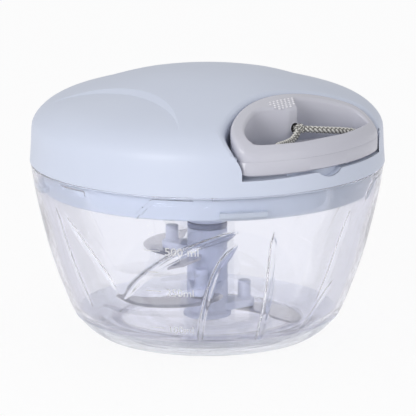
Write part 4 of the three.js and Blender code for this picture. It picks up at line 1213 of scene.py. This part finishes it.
def handle_section(outer, inner, upper):
    """Closed section of one half of the handle, as distances in from the outer edge and heights."""
    width = float(np.hypot(*(inner - outer)))
    front = outer[1] < -handle_centre
    chamfer = 0.05 * mm if upper else 0.03 * mm

    def crown(step):
        plan = outer + (inner - outer) * step / width
        return float(dome_height(math.hypot(*plan)))

    if not upper:
        foot = 0.6 * mm
        round_foot = 0.9 * mm
        return [
            (round_foot, handle_low), (width - round_foot, handle_low), (width, handle_low + foot),
            (width, handle_parting - chamfer), (width - chamfer, handle_parting),
            (chamfer, handle_parting), (0, handle_parting - chamfer), (0, handle_low + foot),
        ]
    round_out = 0.8 * mm if front else 1.5 * mm
    round_in = min((1.9 if front else 1.3) * mm, 0.42 * width)
    foot = handle_parting + 0.01 * mm
    lowest = foot + 0.06 * mm
    line = [(chamfer, foot), (0, foot + chamfer)]
    for part in np.linspace(0, math.pi / 2, 6):
        step = round_out * (1 - math.cos(part))
        line.append((step, max(crown(step) - round_out * (1 - math.sin(part)), lowest)))
    for share in np.linspace(0, 1, 10)[1:-1]:
        step = round_out + (width - round_out - round_in) * share
        line.append((step, crown(step)))
    for part in np.linspace(math.pi / 2, 0, 8):
        step = width - round_in * (1 - math.cos(part))
        line.append((step, crown(step) - round_in * (1 - math.sin(part))))
    line += [(width, foot + chamfer), (width - chamfer, foot)]
    return line


def handle_half(upper):
    places = []
    for outer, inner in zip(handle_outer, handle_inner):
        width = float(np.hypot(*(inner - outer)))
        section = handle_section(outer, inner, upper)
        for step, level in section:
            places.append((*(outer + (inner - outer) * step / width), level))
    return np.array(places), grid_faces(len(handle_outer), len(section), looped=True)


def grip_dots():
    """Staggered raised dots on the thumb pad."""
    dot = turned(in_mm([(0.42, -0.17), (0.42, 0.03), (0.34, 0.18), (0.18, 0.28), (0, 0.3)]), 10)
    dots = []
    for row in range(5):
        y = -38.3 * mm - 1.2 * mm * row
        for column in range(8):
            x = (column - 4.2) * 1.75 * mm + (0.44 if row % 2 else -0.44) * mm
            if -7.4 * mm < x < (5.2 - 1.1 * row) * mm:
                dots.append(moved(dot, 0, (x, y, float(dome_height(math.hypot(x, y))))))
    return gathered(*dots)


handle_halves = (("handle_upper", True, "pull_handle_top"), ("handle_lower", False, "pull_handle_bottom"))
for name, upper, node in handle_halves:
    piece(name, *handle_half(upper), handle_finish, "handle", "handle_plastic", [node], sharp=50)
# The dots' light colour is painted highlight.
piece("thumb_pad_dots", *grip_dots(), dot_highlight_finish, "handle", "handle_plastic", sharp=60)

pad_face = -(arch_centre - arch_radius) + opening_grow - pad_rise


def facing_front(part, y, level):
    """A turned part laid with its axis along Y and its top facing the front, at a height."""
    places, faces = part
    x, across, up = np.asarray(places).T
    return np.column_stack([x, y - up, level + across]), faces


hole_lip = ring(in_mm([(1.75, -0.6), (2.15, -0.6), (2.15, 0.12), (1.75, 0.12)]), 0.1 * mm, 40, 2)
# The well is a near-black disc that paints the shadow down in the cord hole.
hole_well = turned(in_mm([(0, 0.03), (1.8, 0.03), (1.8, -0.4), (0, -0.4)]), 40)
hole_parts = (("cord_hole_lip", hole_lip, handle_finish), ("cord_hole_well", hole_well, hole_shadow_finish))
for name, part, finish in hole_parts:
    piece(name, *facing_front(part, pad_face, cord_level), finish, "handle", "handle_plastic", sharp=50)


# Cord

winding_outer = 0.875 * spool_flange_radius
winding_pitch = 2.75 * mm
winding_turns = 2.3
leave_angle = math.acos(winding_outer / spool_flange_radius) - math.pi / 2


def winding_end(reach):
    way = np.array([math.sin(leave_angle), -math.cos(leave_angle)])
    start = winding_outer * np.array([math.cos(leave_angle), math.sin(leave_angle)])
    return (*(start + way * reach), cord_level)


def winding_part():
    """The turns of cord on the spool, wound inwards."""
    count = 180
    gone = np.linspace(0, winding_turns, count)
    radius = winding_outer - winding_pitch * gone
    angle = leave_angle + turn * gone
    coil = np.column_stack([radius * np.cos(angle), radius * np.sin(angle), np.full(count, cord_level)])
    return tube(np.vstack([[winding_end(2 * cord_radius)], coil]), cord_radius, 12)


piece("cord_turns", *winding_part(), grey_yarn, "spool", "cord_braid", ["cord_winding"])


def cord_piece(name, node, points, body, radius=cord_radius, **weave):
    """A braided cord with its two colours of yarn."""
    places, faces, picks = braided(points, radius, **weave)
    return piece(name, places, faces, light_yarn, body, "cord_braid", [node], second=grey_yarn, picks=picks)


start = np.array(winding_end(2 * cord_radius + seat_gap))
bend = np.array([0, -spool_flange_radius, cord_level])
run_points = [start + (bend - start) * share for share in (0, 0.3, 0.65, 0.93)]
straight = (-(spool_flange_radius + 2 * cord_radius), -36 * mm, -40 * mm, knot_place + 2.4 * mm)
run_points += [(0, y, cord_level) for y in straight]
pull_run = cord_piece("pull_cord_run", "pull_cord", run_points, None)
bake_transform(pull_run)

knot_turns = np.linspace(0, turn, 73)[:-1]
knot_wrap = 1.1 * mm
knot_reach = (1 + 0.62 * np.cos(3 * knot_turns)) * knot_wrap * 0.8
knot_line = np.column_stack(
    [
        knot_reach * np.cos(2 * knot_turns),
        0.8 * np.sin(3 * knot_turns) * knot_wrap + knot_place,
        knot_reach * np.sin(2 * knot_turns) + cord_level,
    ]
)
knot_line = np.vstack([knot_line, knot_line[:1]])
cord_piece("cord_overhand_knot", "cord_knot", knot_line, "handle", 0.72 * mm, pitch=4 * mm, spacing=0.3 * mm)

front_inner = -math.sqrt((wall_radius - handle_front) ** 2 - strand_end_x**2)
left_strand = [
    (-1, -47, 79.1), (-2.9, -47.9, 77.9), (-6.2, -49.2, 76.9), (-11.4, -51.2, 76.8), (-16.6, -53.2, 77),
]
right_strand = [(1, -47, 79.6), (4.6, -49.8, 79.3), (10.2, -52, 78.6), (15, -53.1, 77.9), (19, -54, 77)]
for name, side, way in (("left", -1, left_strand), ("right", 1, right_strand)):
    ends = [
        (side * strand_end_x, front_inner - 0.25 * cord_radius, strand_level + 0.3 * mm),
        (side * strand_end_x, front_inner - 1.4 * mm, strand_level),
    ]
    points = in_mm(way) + ends
    cord_piece("braid_strand_" + name, "cord_strand_" + name, points, "handle", 1.18 * cord_radius)


# Simple hard pieces keep their solids and get their finishes

kept_nodes = (
    (pin_finish, "cord_eyelet axle_pin pivot_pin"),
    (pin_finish, "housing_screw_1 housing_screw_2 housing_screw_3 housing_screw_4"),
    (blade_finish, "dagger_blade"),
    (rotor_finish, "drive_socket"),
    (inner_finish, "clutch_cup cord_spool spring_cover clutch_pawl_1 clutch_pawl_2"),
    (spring_finish, "recoil_spring"),
)
for finish, nodes in kept_nodes:
    for node in nodes.split():
        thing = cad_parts[node]
        thing.data.materials.clear()
        thing.data.materials.append(finish)


# Stage


def floor_material():
    """White floor with a soft shadow that shows white to the camera, in reflections and through plastic."""
    finish = new_finish("floor_white")
    rays = ("Is Camera Ray", "Is Glossy Ray", "Is Transmission Ray")
    seen = finish.math("MINIMUM", sum(finish.add("LightPath", output=ray) for ray in rays), 1.0)
    tone = finish.blend(finish.noise(3, 2), srgb(250, 250, 252), srgb(246, 246, 250))
    matte = finish.surface(Base_Color=tone, Roughness=0.9)
    glow = finish.add("Emission", {}, {"Color": srgb(255, 255, 255), "Strength": 1.0})
    return finish.done(finish.add("MixShader", {}, {0: seen * 0.9, 1: matte, 2: glow}))


floor_half = 3.0
floor_corners = [(floor_half * x, floor_half * y, 0) for x, y in ((-1, -1), (1, -1), (1, 1), (-1, 1))]
floor_mesh = bpy.data.meshes.new("floor")
floor_mesh.from_pydata(floor_corners, [], [(0, 1, 2, 3)])
floor = bpy.data.objects.new("floor", floor_mesh)
floor.data.materials.append(floor_material())
bpy.context.scene.collection.objects.link(floor)

# The room lights the object softly, and shows white to the camera and through clear plastic
room_light = 0.66
studio = Finish(bpy.data.worlds.new("studio"))
seen = studio.math(
    "MAXIMUM",
    studio.add("LightPath", output="Is Camera Ray"),
    studio.add("LightPath", output="Is Transmission Ray"),
)
strength = seen * (1 - room_light) + room_light
bpy.context.scene.world = studio.done(
    studio.add("Background", {}, {"Color": (1, 1, 1, 1), "Strength": strength}), "OutputWorld"
)


def soft_light(name, place, aim, size, power):
    data = bpy.data.lights.new(name, "AREA")
    data.shape = "RECTANGLE"
    data.size, data.size_y = size
    data.energy = power
    lamp = bpy.data.objects.new(name, data)
    lamp.location = place
    lamp.rotation_euler = (Vector(aim) - Vector(place)).to_track_quat("-Z", "Y").to_euler()
    bpy.context.scene.collection.objects.link(lamp)


def from_camera(right, away, up):
    """Place given to the right of and away from the camera's line, in the part's frame."""
    c = math.cos(camera_azimuth)
    s = math.sin(camera_azimuth)
    return (right * c - away * s, right * s + away * c, up)


middle = (0, 0, 0.05)
soft_light("key", from_camera(-0.5, -0.8, 0.36), middle, (0.42, 0.36), 3.7)
soft_light("fill", from_camera(0.8, -0.7, 0.3), middle, (0.6, 0.5), 0.8)
soft_light("back", from_camera(-0.2, 0.9, 0.8), middle, (0.9, 0.5), 0.4)

camera_data = bpy.data.cameras.new("camera")
camera_data.lens = camera_lens
camera_data.sensor_width = sensor_width
camera_data.clip_start = 0.05
camera_data.shift_x = (photo_side / 2 - axis_pixel) / photo_side
camera = bpy.data.objects.new("camera", camera_data)
camera.location = from_camera(0, -camera_distance, camera_height)
camera.rotation_euler = (math.pi / 2 - camera_pitch, 0, camera_azimuth)
bpy.context.scene.collection.objects.link(camera)
bpy.context.scene.camera = camera
bpy.context.scene.view_settings.view_transform = "Standard"
